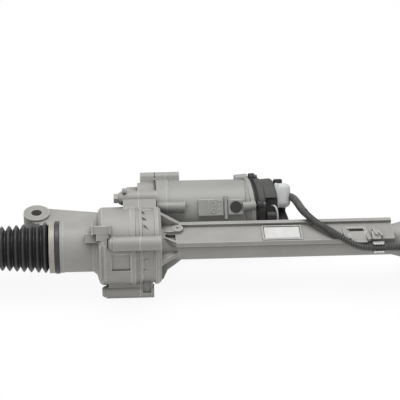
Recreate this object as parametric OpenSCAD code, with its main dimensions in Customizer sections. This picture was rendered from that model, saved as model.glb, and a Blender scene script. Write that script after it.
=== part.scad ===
// Electric power steering gear: rack and pinion, with a motor beside the rack that
// drives a ball nut through a toothed belt.
// X runs along the rack and Z along the bores of the mounting ears. Y points from the
// rack to the motor. The origin is the middle of the left mounting ear's bore.
// The modules are drawn about the rack axis, and in_frame() moves them to the origin.

/* [Rack] */
// Diameter of the rack bar
rack_d = 26; // [25:0.5:27]
// Travel of the rack to each side
travel = 70; // [50:1:72]
// Left shoulder of the housing, measured from the left ear
left_shoulder_x = 32; // [30:1:36]
// Right shoulder of the housing, measured from the left ear
right_shoulder_x = 584; // [580:1:600]
// Depth of the tapped hole in each end of the rack
rack_end_thread = 16; // [12:1:20]

/* [Pinion] */
// Pinion axis at the height of the rack, measured from the left ear
pinion_x = 532; // [528:1:536]
// Lean of the pinion axis towards the right end
pinion_lean = 12; // [8:1:14]
// Module of the teeth
tooth_module = 2; // [1.9:0.05:2.05]
// Length of the pinion's teeth
pinion_teeth_l = 34; // [28:1:36]
// Diameter of the input shaft
input_d = 19; // [17:0.5:20]
// Length of the spline on the input shaft
spline_l = 24; // [18:1:30]

/* [Ball screw and belt] */
// Diameter of the ball nut
nut_d = 46; // [44:0.5:47]
// Length of the ball nut
nut_l = 52; // [46:1:54]
// Diameter of the recirculating balls
nut_ball_d = 5.5; // [5:0.1:6]
// Pitch diameter of the large pulley
large_pulley_d = 76; // [72:1:78]
// Pitch diameter of the small pulley
small_pulley_d = 34; // [32:1:36]
// Width of the belt
belt_w = 22; // [18:1:24]
// Thickness of the belt
belt_t = 2.4; // [2:0.1:2.6]

/* [Housing] */
// Diameter of the tube between the gearbox and the pinion
tube_d = 40; // [38:0.5:42]
// Diameter of the necks that the bellows fit on
neck_d = 66; // [64:0.5:68]
// Length of the spigot under the cuff of each bellows
spigot_l = 14; // [12:1:16]
// Outer diameter of the gearbox drum
drum_d = 102; // [100:1:104]
// Wall of the gearbox castings
wall = 4.5; // [4:0.25:5]
// Left face of the gearbox drum, measured from the left ear
drum_x = 82; // [80:1:84]
// Joint face between the two castings, measured from the left ear
split_x = 136; // [134:1:138]
// Length of the flange on the right casting
flange_l = 28; // [26:1:30]

/* [Mounting ears] */
// Distance from the rack axis to the bores of the rear ears
ear_y = 62; // [60:0.5:64]
// Diameter of the ear bores
ear_bore_d = 14.5; // [12:0.5:16]
// Outer diameter of the ears
ear_d = 35; // [32:1:38]
// Height of the ears
ear_h = 25; // [20:1:28]
// Right rear ear, measured from the left ear
right_ear_x = 572; // [566:1:576]
// Front ear beside the pinion, measured from the left ear
front_ear_x = 506; // [504:1:510]

/* [Motor and control unit] */
// Distance between the rack axis and the motor axis
motor_y = 75; // [74:0.5:77]
// Diameter of the motor housing
motor_d = 86; // [84:0.5:87]
// Length of the motor, from its mounting face to the joint of the control unit
motor_l = 128; // [122:1:132]
// Length of the front cover of the motor
motor_cover_l = 14; // [12:1:16]
// Wall of the motor housing
motor_wall = 4; // [3:0.25:4.5]
// Diameter of the rotor shaft
rotor_shaft_d = 12; // [10:0.5:13]
// Length of the control unit's cover
ecu_l = 38; // [34:1:42]
// Slant of the joint between the motor and the control unit
ecu_slant = 7; // [4:1:9]

/* [Bellows and tie rods] */
// Outer diameter of the bellows at the housing
bellows_d = 67; // [65:0.5:68]
// Pitch of the bellows' folds
fold_pitch = 9.4; // [9:0.1:9.6]
// Number of folds on each bellows
folds = 19; // [14:1:20]
// Diameter of the ball of each inner joint
joint_ball_d = 27; // [24:0.5:28]
// Diameter of the tie rods
rod_d = 15; // [13:0.5:16]
// Length of each tie rod from its ball to its end
rod_l = 300; // [270:5:320]
// Length of the outer thread on each tie rod
rod_thread_l = 60; // [45:1:70]

/* [Fits] */
// Radial gap of the running fits
run_gap = 0.05; // [0.03:0.01:0.08]
// Gap between solids that pass each other without a fit
free_gap = 0.4; // [0.3:0.05:0.6]

/* [Hidden] */

$fn = 64;

// Colours of the real surfaces
cast_grey = [0.66, 0.65, 0.62];
motor_grey = [0.72, 0.71, 0.69];
steel_grey = [0.55, 0.56, 0.57];
rubber_black = [0.08, 0.08, 0.08];
plastic_black = [0.13, 0.13, 0.14];
cover_grey = [0.29, 0.29, 0.29];
cap_white = [0.9, 0.91, 0.93];
nylon_cream = [0.85, 0.82, 0.72];
copper_red = [0.72, 0.42, 0.26];

// Rack and its stops
rack_r = rack_d / 2;
stop_gap = 1.5;
stop_inset = 2;
socket_r = 19.5;
socket_l = 42;
socket_to_ball = 24;
stud_r = 8;
mouth_l_x = left_shoulder_x - spigot_l;
mouth_r_x = right_shoulder_x + spigot_l;
rack_l_x = left_shoulder_x + stop_inset - travel - stop_gap;
rack_rt_x = right_shoulder_x - stop_inset + travel + stop_gap;
ball_l_x = rack_l_x - socket_to_ball;
ball_r_x = rack_rt_x + socket_to_ball;
bore_r = rack_r + 3;
neck_r = neck_d / 2;
cuff_wall = 3;
spigot_r = neck_r - cuff_wall;
mouth_bore_r = socket_r + 3;
tube_r = tube_d / 2;
drum_r = drum_d / 2;

// Pinion and rack teeth, drawn in the plane square to the pinion's axis
pinion_teeth = 8;
pressure_angle = 25;
pitch_r = tooth_module * pinion_teeth / 2;
base_r = pitch_r * cos(pressure_angle);
tooth_shift = 0.25 * tooth_module;
rack_tooth_half = 0.85 * tooth_module;
tooth_clear = 0.25 * tooth_module;
backlash = 0.16;
pinion_tip_r = pitch_r + tooth_shift + rack_tooth_half - run_gap;
pinion_root_r = pitch_r + tooth_shift - rack_tooth_half - tooth_clear;
tooth_step = PI * tooth_module;
rack_face_cut = 2.5;
rack_face_y = -(rack_r - rack_face_cut);
pinion_y = rack_face_y - (pitch_r + tooth_shift - rack_tooth_half);
rack_teeth_each_way = ceil((travel * cos(pinion_lean) + 8) / tooth_step);

// Pinion tower, heights along the pinion's axis
tower_r = 20;
tower_low = -52;
needle_h = 12;
needle_low = -pinion_teeth_l / 2 - 4 - needle_h;
stub_r = 7;
needle_r = 12;
seat_low = pinion_teeth_l / 2 + 5;
seat_h = 14;
pinion_neck_r = 10;
ball_bearing_r = 20;
bearing_nut_h = 6;
tower_head_r = 26;
tower_head = seat_low + seat_h + bearing_nut_h + 2;
sensor_h = 30;
sensor_top = tower_head + sensor_h;
input_r = input_d / 2;
input_top = sensor_top + 44;
torsion_r = 4;

// Yoke on the back of the rack
yoke_r = 15;
yoke_back_y = 31;
yoke_plug_in_y = 36;
yoke_plug_out_y = 48;
yoke_boss_r = 21;
spring_r = 8;
spring_wire_r = 1.3;

// Ball nut, its bearing and the belt drive
screw_root_r = rack_r - 2.3;
nut_r = nut_d / 2;
nut_x = split_x - 40;
nut_end_x = nut_x + nut_l;
nut_ball_r = nut_ball_d / 2;
nut_ball_ring_r = screw_root_r + 0.15 + nut_ball_r;
screw_lead = 7;
nut_bore_r = rack_r + 0.6;
bearing_x = nut_x + 2;
bearing_w = 14;
bearing_ball_r = 3.5;
bearing_pitch_r = nut_r + 7.2;
bearing_ring_r = bearing_pitch_r + 8;
lock_ring_w = 7;
belt_x = nut_end_x - belt_w;
large_r = large_pulley_d / 2;
small_r = small_pulley_d / 2;
pulley_rim = 5;

// Gearbox castings
cavity_r = drum_r - wall;
flange_x = split_x + flange_l;
motor_face_x = flange_x - 4;
arm_rack_r = 42;
arm_motor_r = 31;
plate_motor_r = 40;
arm_x = split_x - 18;
pilot_r = 27;
pilot_l = 6;
cavity_end_x = motor_face_x - 8;
bolt_r = 4;
bolt_hole_r = bolt_r + 0.4;
// Flange bolts as [y, z, start of the boss, radius of the boss, end of the boss]
flange_bolts = [
    [-43, 35, drum_x + 19, 9.4, flange_x - 1],
    [-37, -47, drum_x + 9.5, 9, flange_x - 10],
    [36, 51, drum_x + 30.5, 9.2, flange_x - 4],
    [42, -47, drum_x + 22, 8.5, flange_x - 4],
    [motor_y + 28, 13, split_x - 12, 8, motor_face_x],
    [motor_y + 30, -19, split_x - 16, 8, motor_face_x]
];
bolt_end_gap = 5;
bolt_head_h = 9;
bolt_head_r = 6.8;
view_turn = 55;

// Shelf on top of the tube
shelf_top = tube_r + 0.5;
shelf_t = 6.5;
shelf_front_y = -25;
shelf_back_y = 16;
shelf_rib_y = 10;
shelf_rib_top = shelf_top + 4;
shelf_end_x = pinion_x - 62;
tube_flare_x = flange_x + 28;

// Motor
motor_r = motor_d / 2;
motor_end_x = motor_face_x + motor_l;
motor_cover_x = motor_face_x + motor_cover_l;
motor_bore_r = motor_r - motor_wall;
motor_lugs = [50, 137, 227, 317];
motor_lug_r = 47;
lug_boss_r = 7;
rotor_shaft_r = rotor_shaft_d / 2;
motor_bearing_r = 16;
motor_bearing_w = 9;
rotor_r = 22;
air_gap = 0.7;
stator_in_r = rotor_r + air_gap;
stator_x = motor_cover_x + 8;
stator_l = 74;
motor_wall_x = motor_end_x - 14;

// Control unit, drawn along the slanted joint's own axis from its joint face
gasket_t = 2.5;
ecu_r = motor_r - 3;
ecu_wall = 2.5;
plug_y = -4;
plug_z = 21;
cap_l = 20;
cap_h = 29;

// Bellows and tie rods
fold_depth = 7.5;
bellows_wall = 1.4;
bellows_taper = 0.15;
cuff_l = spigot_l + 0.6;
small_cuff_l = 14;
joint_ball_r = joint_ball_d / 2;
rod_r = rod_d / 2;
liner_t = 1.5;
nut_flats = 24;
clamp_w = 7;
clamp_t = 0.9;

// Seats and screws
ear_r = ear_d / 2;
seat_gap = 0.02;
bush_x = right_shoulder_x - 24;
bush_r = rack_r + 4;
motor_screw_r = 3;
clip_x = shelf_end_x - 26;
clip_l = 15;
clip_y = -34;
clip_z = 12;
label_x = flange_x + 135;
sensor_screw_angles = [70, 250];
sensor_screw_r = tower_head_r + 4;
sensor_r = tower_head_r - 2;
end_cap_r = 14;
yoke_plug_r = 17;
pinion_top = tower_head - 2;
torsion_low = 2;
torsion_high = input_top - 12;

// Ball circuit and belt teeth
screw_l_x = nut_x - travel - 8;
screw_r_x = nut_end_x + travel + 8;
nut_balls_turn = 14;
nut_turns = 3;
belt_gap = 0.15;
large_pulley_r = large_r - belt_t / 2;
small_pulley_r = small_r - belt_t / 2;
large_teeth = 48;
small_teeth = round(large_teeth * small_pulley_d / large_pulley_d);
tooth_step_belt = 2 * PI * large_pulley_r / large_teeth;

// Inside and on the motor
rotor_x = stator_x + 4;
rotor_l = stator_l - 8;
pad_turn = -41;
pad_x = motor_face_x + 56;
vent_x = motor_end_x - 22;
vent_r = 7;
ecu_screw_angles = [55, 137, 235, 317];
ecu_screw_ring = motor_r + 0.5;

// Ball joints; shoulder_u is the way back from a joint to the shoulder of its neck
shoulder_u = ball_l_x - left_shoulder_x;
liner_r = joint_ball_r + liner_t;
bellows_end_u = shoulder_u + cuff_l + folds * fold_pitch + 4;

// Conduit from the control unit's plug to the torque sensor, about the rack axis
conduit_r = 4.75;
conduit_points = [
    [347.1, 78.3, 21], [351.5, 77.6, 22], [356, 70, 25], [359, 57, 28.5], [361, 42, 30.5],
    [364, 26, 31.5], [368, 10, 31.5], [376, -6, 29.5], [387, -18, 27.5], [400, -29, 24.5],
    [412, -33, 18.5], [426, -34, 13.5], [442, -34, 12], [460, -34, 12], [478, -34, 12],
    [491, -36, 14.5], [501, -38.5, 19.5], [507, -40, 25], [508.5, -40.5, 31], [508.5, -40.5, 35]
];

module in_frame() {
    translate([0, -ear_y, 0]) children();
}

module along_x(x, y = 0, z = 0) {
    translate([x, y, z]) rotate([0, 90, 0]) children();
}

// A cylinder along X from x0 to x1
module rod_x(x0, x1, r, y = 0, z = 0, r2 = undef) {
    along_x(x0, y, z) cylinder(h = x1 - x0, r1 = r, r2 = is_undef(r2) ? r : r2);
}

// A profile in Y and Z, carried along X
module plate_x(x0, x1) {
    translate([x0, 0, 0]) rotate([90, 0, 90]) linear_extrude(x1 - x0) children();
}

// A profile in X and Y, carried up Z
module plate_z(z0, z1) {
    translate([0, 0, z0]) linear_extrude(z1 - z0) children();
}

// Outline round two circles, with straight sides that run in by tuck where they meet them
module strap(p, rp, q, rq, tuck = 0.15) {
    d = norm(q - p);
    a = acos((rp - rq) / d);
    translate(p) rotate(atan2(q[1] - p[1], q[0] - p[0])) {
        circle(r = rp, $fn = 96);
        translate([d, 0]) circle(r = rq, $fn = 96);
        polygon([
            [(rp - tuck) * cos(a), (rp - tuck) * sin(a)],
            [(rp - tuck) * cos(a), (tuck - rp) * sin(a)],
            [d + (rq - tuck) * cos(a), (tuck - rq) * sin(a)],
            [d + (rq - tuck) * cos(a), (rq - tuck) * sin(a)]
        ]);
    }
}

// Outline round the rack axis and the motor axis, as a belt runs round two pulleys
module belt_shape(r1, r2, tuck = 0.15) {
    strap([0, 0], r1, [motor_y, 0], r2, tuck);
}

module at_pinion() {
    translate([pinion_x, pinion_y, 0]) rotate([0, pinion_lean, 0]) children();
}

module at_motor() {
    translate([0, motor_y, 0]) children();
}

// The slanted joint between the motor and the control unit
module at_ecu() {
    translate([motor_end_x, motor_y, 0]) rotate([0, 0, ecu_slant]) children();
}

// The left or right end of the gear, with X pointing outwards from the ball joint
module at_left_ball() {
    translate([ball_l_x, 0, 0]) rotate([0, 0, 180]) children();
}

module at_right_ball() {
    translate([ball_r_x, 0, 0]) children();
}

module hex_x(x0, x1, flats) {
    along_x(x0) rotate([0, 0, 30]) cylinder(h = x1 - x0, r = flats / sqrt(3), $fn = 6);
}

module ear(x, y) {
    translate([x, y, -ear_h / 2]) cylinder(h = ear_h, d = ear_d);
}

module ear_bore(x, y) {
    translate([x, y, -ear_h / 2 - 1]) cylinder(h = ear_h + 2, d = ear_bore_d);
}

// Web in plan between an ear and the casting behind it, drawn through the given points
module ear_web(points) {
    web_h = ear_h - 6;
    plate_z(-web_h / 2, web_h / 2) polygon(points);
}

// Bosses of the flange bolts, tied to the body of the casting beside them
module bolt_bosses(left) {
    for (b = flange_bolts) {
        hub = b[0] > motor_y ? [motor_y, 0] : [0, 0];
        in_y = hub[0] + (b[0] - hub[0]) * 0.72;
        in_z = b[1] * 0.72;
        x0 = left ? b[2] : split_x;
        x1 = left ? split_x : b[4];
        rod_x(x0, x1, b[3], b[0], b[1]);
        plate_x(left ? x0 + 3 : x0, left ? x1 : x1 - 1.5)
            strap([b[0], b[1]], b[3] - 1.5, [in_y, in_z], b[1] > 50 ? 14 : b[3] - 1);
    }
}

module bolt_holes(left) {
    for (b = flange_bolts)
        rod_x(left ? drum_x : split_x - 1, left ? split_x + 1 : b[4] - bolt_end_gap, bolt_hole_r, b[0], b[1]);
}

// Space for the nut, the pulleys and the belt, open at the joint of the castings
module gear_cavity() {
    seat_end = bearing_x + bearing_w + lock_ring_w;
    rod_x(nut_x - 2, bearing_x + 1, nut_r + 1.5);
    rod_x(bearing_x, seat_end, bearing_ring_r);
    rod_x(seat_end - 0.5, cavity_end_x, cavity_r);
    plate_x(arm_x + wall, cavity_end_x) belt_shape(large_r + 8, small_r + 8);
}

module gear_housing() {
    color(cast_grey) in_frame() difference() {
        union() {
            rod_x(mouth_l_x, left_shoulder_x + 1, spigot_r);
            rod_x(left_shoulder_x, left_shoulder_x + 5, neck_r + 0.6);
            rod_x(left_shoulder_x + 4, drum_x + 2, neck_r);
            drum_shell();
            plate_x(arm_x, split_x) belt_shape(arm_rack_r, arm_motor_r);
            bolt_bosses(true);
            ear(0, ear_y);
            ear_web([
                [0, ear_y + ear_r - 2], [2 - ear_r, ear_y], [6 - ear_r, ear_y - 11],
                [4, bellows_d / 2 + 4], [left_shoulder_x + 1, bellows_d / 2 + 3],
                [left_shoulder_x + 1, 0], [drum_x + 12, 0], [drum_x + 12, ear_y]
            ]);
            front_lug();
            drum_ribs();
        }
        rod_x(mouth_l_x - 1, left_shoulder_x + stop_inset, mouth_bore_r);
        rod_x(left_shoulder_x, nut_x, bore_r);
        gear_cavity();
        ear_bore(0, ear_y);
        bolt_holes(true);
        for (b = flange_bolts)
            rod_x(b[2] - (b[0] < 0 ? 7 : 14), b[2], max(b[3] - 0.9, bolt_head_r + 1.4), b[0], b[1]);
        drum_recess();
    }
}

// Drum of the gearbox, turned about the rack axis
module drum_shell() {
    along_x(0) rotate([0, 0, 90]) rotate_extrude($fn = 96) polygon([
        [bore_r, drum_x - 7],
        [neck_r, drum_x - 7],
        [neck_r + 4, drum_x - 2],
        [drum_r - 7, drum_x],
        [drum_r - 2.5, drum_x + 1.5],
        [drum_r, drum_x + 5],
        [drum_r, split_x - 12],
        [drum_r + 1, split_x - 11.4],
        [drum_r + 1, split_x - 6],
        [drum_r - 1.2, split_x - 5],
        [drum_r - 1.2, split_x],
        [bore_r, split_x]
    ]);
}

// Square lug with end collars and a foot, on the front of the neck and the drum
module front_lug() {
    rotate([view_turn, 0, 0]) {
        translate([drum_x - 8, 17, 20]) cube([24.5, 10.5, 31]);
        translate([drum_x - 8.6, 16, 20]) cube([2.4, 12.5, 32.2]);
        translate([drum_x + 14.4, 16, 20]) cube([2.4, 12.5, 32.2]);
        translate([drum_x - 16, 6, 18]) cube([31, 12, 26]);
        translate([drum_x - 2, 8.5, 30]) cube([16, 9, 20.6]);
    }
}

// Two raised bands round the front edge of the drum, below the lug
module drum_ribs() {
    intersection() {
        for (x = [drum_x + 1.6, drum_x + 7.6]) rod_x(x, x + 2.6, drum_r + 0.8);
        rotate([view_turn, 0, 0]) translate([drum_x - 2, -44, 4]) cube([18, 46, 60]);
    }
}

// Shallow rectangular recess on the front of the drum, below the bolt's boss
module drum_recess() {
    difference() {
        rotate([view_turn, 0, 0]) translate([drum_x + 17, -31, 30]) cube([24, 21, 30]);
        rod_x(drum_x, split_x, drum_r - 1.7);
    }
}

// Window in the lower boss of the right casting, down to the wall of the drum
module lug_window() {
    difference() {
        rotate([view_turn, 0, 0]) translate([split_x + 3, -62, 9]) cube([11, 17, 40]);
        rod_x(split_x, flange_x, drum_r - 2.8);
    }
}

// Pocket beside the eye of the shelf, which leaves a rib along the shelf's edge
module shelf_pocket() {
    plate_z(shelf_top - 4.8, shelf_top + 1) polygon([
        [flange_x + 3, -8],
        [flange_x + 3, -5.5],
        [flange_x + 19, -5.5],
        [flange_x + 19, -19.5]
    ]);
    translate([flange_x + 22, 3, shelf_top]) cylinder(h = 10, r = 1.7);
}

module rack_housing() {
    color(cast_grey) in_frame() difference() {
        union() {
            rack_housing_body();
            plate_x(split_x, motor_face_x) belt_shape(arm_rack_r + 2, plate_motor_r);
            motor_seats();
            bolt_bosses(false);
            shelf();
            flange_webs();
            pinion_tower();
            rack_ears();
        }
        gear_cavity();
        rod_x(cavity_end_x - 1, motor_face_x + 1, pilot_r, motor_y);
        rod_x(cavity_end_x - 1, right_shoulder_x, bore_r);
        rod_x(bush_x, right_shoulder_x, bush_r);
        rod_x(right_shoulder_x - stop_inset, mouth_r_x + 1, mouth_bore_r);
        bolt_holes(false);
        lug_window();
        shelf_pocket();
        motor_screw_holes(motor_face_x - 7, motor_face_x + 1);
        rod_x(motor_face_x, motor_end_x + ecu_l, motor_r + 1.5, motor_y);
        rod_x(motor_face_x, motor_cover_x + 26, motor_lug_r + lug_boss_r + 1, motor_y);
        pinion_bores();
        yoke_bore();
        for (e = [[right_ear_x, ear_y], [front_ear_x, -ear_y]]) ear_bore(e[0], e[1]);
    }
}

// Body of the right casting, turned about the rack axis
module rack_housing_body() {
    along_x(0) rotate([0, 0, 90]) rotate_extrude($fn = 96) polygon([
        [rack_r, split_x],
        [drum_r - 0.3, split_x],
        [drum_r - 0.3, split_x + 3],
        [drum_r - 2, split_x + 4],
        [drum_r - 2, flange_x - 9],
        [drum_r, flange_x - 8],
        [drum_r, flange_x - 4],
        [drum_r - 3, flange_x],
        [tube_r + 5, flange_x + 1],
        [tube_r + 2, flange_x + 8],
        [tube_r, flange_x + 16],
        [tube_r, tube_flare_x],
        [tube_r, shelf_end_x],
        [tube_r + 8, pinion_x - 32],
        [tube_r + 9, pinion_x + 16],
        [neck_r, right_shoulder_x - 28],
        [neck_r, right_shoulder_x],
        [spigot_r, right_shoulder_x],
        [spigot_r, mouth_r_x],
        [rack_r, mouth_r_x]
    ]);
}

module motor_seats() {
    for (a = motor_lugs) at_motor() plate_x(motor_face_x - 20, motor_face_x) motor_lug(a, 34);
}

module motor_screw_holes(x0, x1) {
    for (a = motor_lugs)
        rod_x(x0, x1, motor_screw_r + 0.3, motor_y + motor_lug_r * cos(a), motor_lug_r * sin(a));
}

// Shelf along the tube, with a rib at its back, which carries the label and the clip
module shelf() {
    plate_x(flange_x + 20, shelf_end_x) union() {
        translate([shelf_front_y, shelf_top - shelf_t]) square([shelf_back_y - shelf_front_y, shelf_t]);
        translate([shelf_rib_y, 0]) square([shelf_back_y - shelf_rib_y, shelf_rib_top]);
    }
    plate_z(shelf_top - shelf_t, shelf_top) polygon([
        [flange_x - 3, -8],
        [flange_x + 22, shelf_front_y],
        [flange_x + 22, shelf_back_y],
        [flange_x - 3, shelf_back_y + 4]
    ]);
    plate_z(shelf_top - 1, shelf_top + 3.5) polygon([
        [flange_x - 3, -5],
        [flange_x + 18, -4],
        [flange_x + 27, 9],
        [flange_x - 3, 14]
    ]);
    translate([flange_x + 22, 3, shelf_top - 1]) cylinder(h = 5.5, r = 7.4);
    translate([clip_x - 26, shelf_front_y - 3, shelf_top - 14]) cube([16, 10, 10]);
}

// Webs that carry the flange of the gearbox on the tube
module flange_webs() {
    plate_z(-3, 3) polygon([
        [flange_x - 4, -drum_r + 5],
        [flange_x + 24, -tube_r + 1],
        [flange_x + 24, 0],
        [flange_x - 4, 0]
    ]);
    plate_z(-3, 3) polygon([
        [flange_x - 4, drum_r - 5],
        [flange_x + 24, tube_r - 1],
        [flange_x + 24, 0],
        [flange_x - 4, 0]
    ]);
    rotate([90, 0, 0]) plate_z(-shelf_back_y, 6 - shelf_back_y) polygon([
        [flange_x - 6, 0],
        [flange_x - 6, drum_r - 5],
        [flange_x + 26, shelf_rib_top],
        [flange_x + 26, 0]
    ]);
    for (b = [flange_bolts[1], flange_bolts[3]])
        rotate([atan2(b[1], b[0]), 0, 0]) plate_z(-3, 3) polygon([
            [flange_x - 6, 0],
            [flange_x - 6, drum_r - 2],
            [flange_x + 2.5, drum_r - 6],
            [flange_x + 8.5, drum_r - 18],
            [flange_x + 19, drum_r - 25],
            [flange_x + 28, tube_r - 1],
            [flange_x + 28, 0]
        ]);
}

module rack_ears() {
    ear(right_ear_x, ear_y);
    ear_web([
        [right_ear_x + ear_r - 2, ear_y], [right_ear_x + 6, neck_r - 4],
        [right_ear_x - 44, 0], [right_ear_x - 36, tube_r], [right_ear_x + 4 - ear_r, ear_y + 8]
    ]);
    ear(front_ear_x, -ear_y);
    ear_web([
        [front_ear_x + 2 - ear_r, -ear_y], [front_ear_x - 12, 0], [front_ear_x + 36, 0],
        [front_ear_x + 30, -tube_r], [front_ear_x + ear_r - 4, -ear_y - 8]
    ]);
}

// Tower round the pinion, with the boss of the yoke on the other side of the rack
module pinion_tower() {
    at_pinion() {
        translate([0, 0, tower_low]) cylinder(h = seat_low - tower_low, r = tower_r);
        translate([0, 0, seat_low - 8]) cylinder(h = 8, r1 = tower_r, r2 = tower_head_r);
        translate([0, 0, seat_low]) cylinder(h = tower_head - seat_low, r = tower_head_r);
        plate_z(tower_head - 6, tower_head) sensor_outline();
    }
    translate([pinion_x, 0, 0]) rotate([-90, 0, 0]) cylinder(h = yoke_plug_out_y, r = yoke_boss_r);
}

// Outline of the sensor flange on the head of the tower, with two screw ears
module sensor_outline() {
    circle(r = tower_head_r + 1, $fn = 96);
    for (a = sensor_screw_angles) rotate(a) {
        translate([0, -5]) square([sensor_screw_r, 10]);
        translate([sensor_screw_r, 0]) circle(r = 6.5, $fn = 48);
    }
}

module pinion_bores() {
    at_pinion() {
        translate([0, 0, tower_low - 1]) cylinder(h = 8, r = end_cap_r);
        translate([0, 0, tower_low]) cylinder(h = needle_low + needle_h - tower_low, r = needle_r);
        translate([0, 0, needle_low]) cylinder(h = seat_low - needle_low, r = pinion_tip_r + 1);
        translate([0, 0, seat_low]) cylinder(h = tower_head - seat_low + 1, r = ball_bearing_r);
        for (a = sensor_screw_angles)
            translate([sensor_screw_r * cos(a), sensor_screw_r * sin(a), tower_head - 5])
                cylinder(h = 6, r = 2.3);
    }
}

module yoke_bore() {
    translate([pinion_x, 0, 0]) rotate([-90, 0, 0]) {
        cylinder(h = yoke_plug_out_y + 1, r = yoke_r + run_gap);
        translate([0, 0, yoke_plug_in_y]) cylinder(h = yoke_plug_out_y, r = yoke_plug_r);
    }
}

// Bolts that hold the two castings together: dome heads at the front, hexagons at the back
module housing_bolts() {
    color(steel_grey) in_frame() for (b = flange_bolts) {
        rod_x(b[2], b[4] - bolt_end_gap - 2, bolt_r, b[0], b[1]);
        if (b[0] < 0) {
            rod_x(b[2] - 2.4, b[2], b[3] - 1.4, b[0], b[1]);
            rod_x(b[2] - 5.5, b[2] - 2.4, b[3] - 3.8, b[0], b[1], b[3] - 1.4);
        } else {
            rod_x(b[2] - 2.4, b[2], bolt_head_r + 0.9, b[0], b[1]);
            along_x(b[2] - bolt_head_h, b[0], b[1])
                cylinder(h = bolt_head_h - 1, r = bolt_head_r, $fn = 6);
        }
    }
}

module rack_bar() {
    color(steel_grey) in_frame() difference() {
        union() {
            rod_x(rack_l_x, screw_l_x, rack_r);
            rod_x(screw_l_x - 1, screw_r_x + 1, screw_root_r);
            rod_x(screw_r_x, rack_rt_x, rack_r);
        }
        rack_teeth_cut();
        rod_x(rack_l_x - 1, rack_l_x + rack_end_thread + 2, stud_r + run_gap);
        rod_x(rack_rt_x - rack_end_thread - 2, rack_rt_x + 1, stud_r + run_gap);
    }
}

// Flat and tooth spaces on the front of the bar, cut along the lean of the pinion
module rack_teeth_cut() {
    half_l = rack_teeth_each_way * tooth_step + 5;
    mid_y = pinion_y + pitch_r + tooth_shift;
    root_y = mid_y + rack_tooth_half + tooth_clear;
    open_y = rack_face_y - 0.2;
    half_w = (tooth_step / 2 + backlash / 2) / 2;
    slope = tan(pressure_angle);
    translate([pinion_x, 0, 0]) rotate([0, pinion_lean, 0]) {
        plate_z(-rack_d, rack_d)
            translate([-half_l, -rack_d]) square([2 * half_l, rack_d + rack_face_y]);
        for (i = [-rack_teeth_each_way:rack_teeth_each_way])
            translate([i * tooth_step, 0, 0]) plate_z(-rack_d, rack_d) polygon([
                [-half_w - (mid_y - open_y) * slope, open_y],
                [half_w + (mid_y - open_y) * slope, open_y],
                [half_w - (root_y - mid_y) * slope, root_y],
                [-half_w + (root_y - mid_y) * slope, root_y]
            ]);
    }
}

// Plastic bush that carries the right end of the rack
module rack_bush() {
    color(nylon_cream) in_frame() difference() {
        rod_x(bush_x, right_shoulder_x - stop_inset, bush_r - seat_gap);
        rod_x(bush_x - 1, right_shoulder_x, rack_r + run_gap);
    }
}

// Places of the recirculating balls: three turns of the screw's lead
function ball_angle(i) = i * 360 / nut_balls_turn;
function ball_x(i) = nut_x + 14 + screw_lead * i / nut_balls_turn;

module at_each_ball() {
    for (i = [0:nut_balls_turn * nut_turns - 1])
        translate([ball_x(i), 0, 0]) rotate([ball_angle(i), 0, 0])
            translate([0, 0, nut_ball_ring_r]) children();
}

module nut_balls() {
    color(steel_grey) in_frame() at_each_ball() sphere(r = nut_ball_r, $fn = 32);
}

module ball_nut() {
    color(steel_grey) in_frame() difference() {
        union() {
            rod_x(nut_x, nut_end_x, nut_r);
            rod_x(bearing_x, bearing_x + bearing_w, bearing_pitch_r - 1.5);
        }
        rod_x(nut_x - 1, nut_end_x + 1, nut_bore_r);
        at_each_ball() sphere(r = nut_ball_r + 0.1, $fn = 32);
        along_x(bearing_x + bearing_w / 2) rotate_extrude($fn = 96)
            translate([bearing_pitch_r, 0]) circle(r = bearing_ball_r + run_gap, $fn = 32);
        return_slot(0.3);
    }
}

// Seat of the return tube, milled on the nut between the bearing and the pulley
module return_slot(gap) {
    out_r = nut_ball_ring_r + nut_ball_r + 0.6 - gap;
    translate([ball_x(0) + 4, -4 - gap, -nut_r - 1])
        cube([screw_lead * nut_turns - 4, 8 + 2 * gap, nut_r + 1 - out_r]);
}

module ball_return_tube() {
    color(plastic_black) in_frame() difference() {
        return_slot(0);
        difference() {
            rod_x(nut_x, nut_end_x, 2 * nut_r);
            rod_x(nut_x - 1, nut_end_x + 1, nut_r - 0.4);
        }
    }
}

// Outer ring of the nut's bearing, held in the drum by the lock ring
module nut_bearing_ring() {
    color(steel_grey) in_frame() difference() {
        rod_x(bearing_x, bearing_x + bearing_w, bearing_ring_r - seat_gap);
        rod_x(bearing_x - 1, bearing_x + bearing_w + 1, bearing_pitch_r + 1.2);
        along_x(bearing_x + bearing_w / 2) rotate_extrude($fn = 96)
            translate([bearing_pitch_r, 0]) circle(r = bearing_ball_r + run_gap, $fn = 32);
    }
}

module nut_bearing_balls() {
    n = floor(2 * PI * bearing_pitch_r / (2.35 * bearing_ball_r));
    color(steel_grey) in_frame() for (i = [0:n - 1])
        rotate([i * 360 / n, 0, 0])
            translate([bearing_x + bearing_w / 2, 0, bearing_pitch_r])
                sphere(r = bearing_ball_r, $fn = 32);
}

module bearing_lock_ring() {
    color(steel_grey) in_frame() difference() {
        rod_x(bearing_x + bearing_w, bearing_x + bearing_w + lock_ring_w, bearing_ring_r - seat_gap);
        rod_x(bearing_x, belt_x + 1, nut_r + 4);
        for (a = [0:60:300]) rotate([a, 0, 0])
            translate([bearing_x + bearing_w + lock_ring_w - 3, -3, bearing_ring_r - 5]) cube([4, 6, 6]);
    }
}

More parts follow.
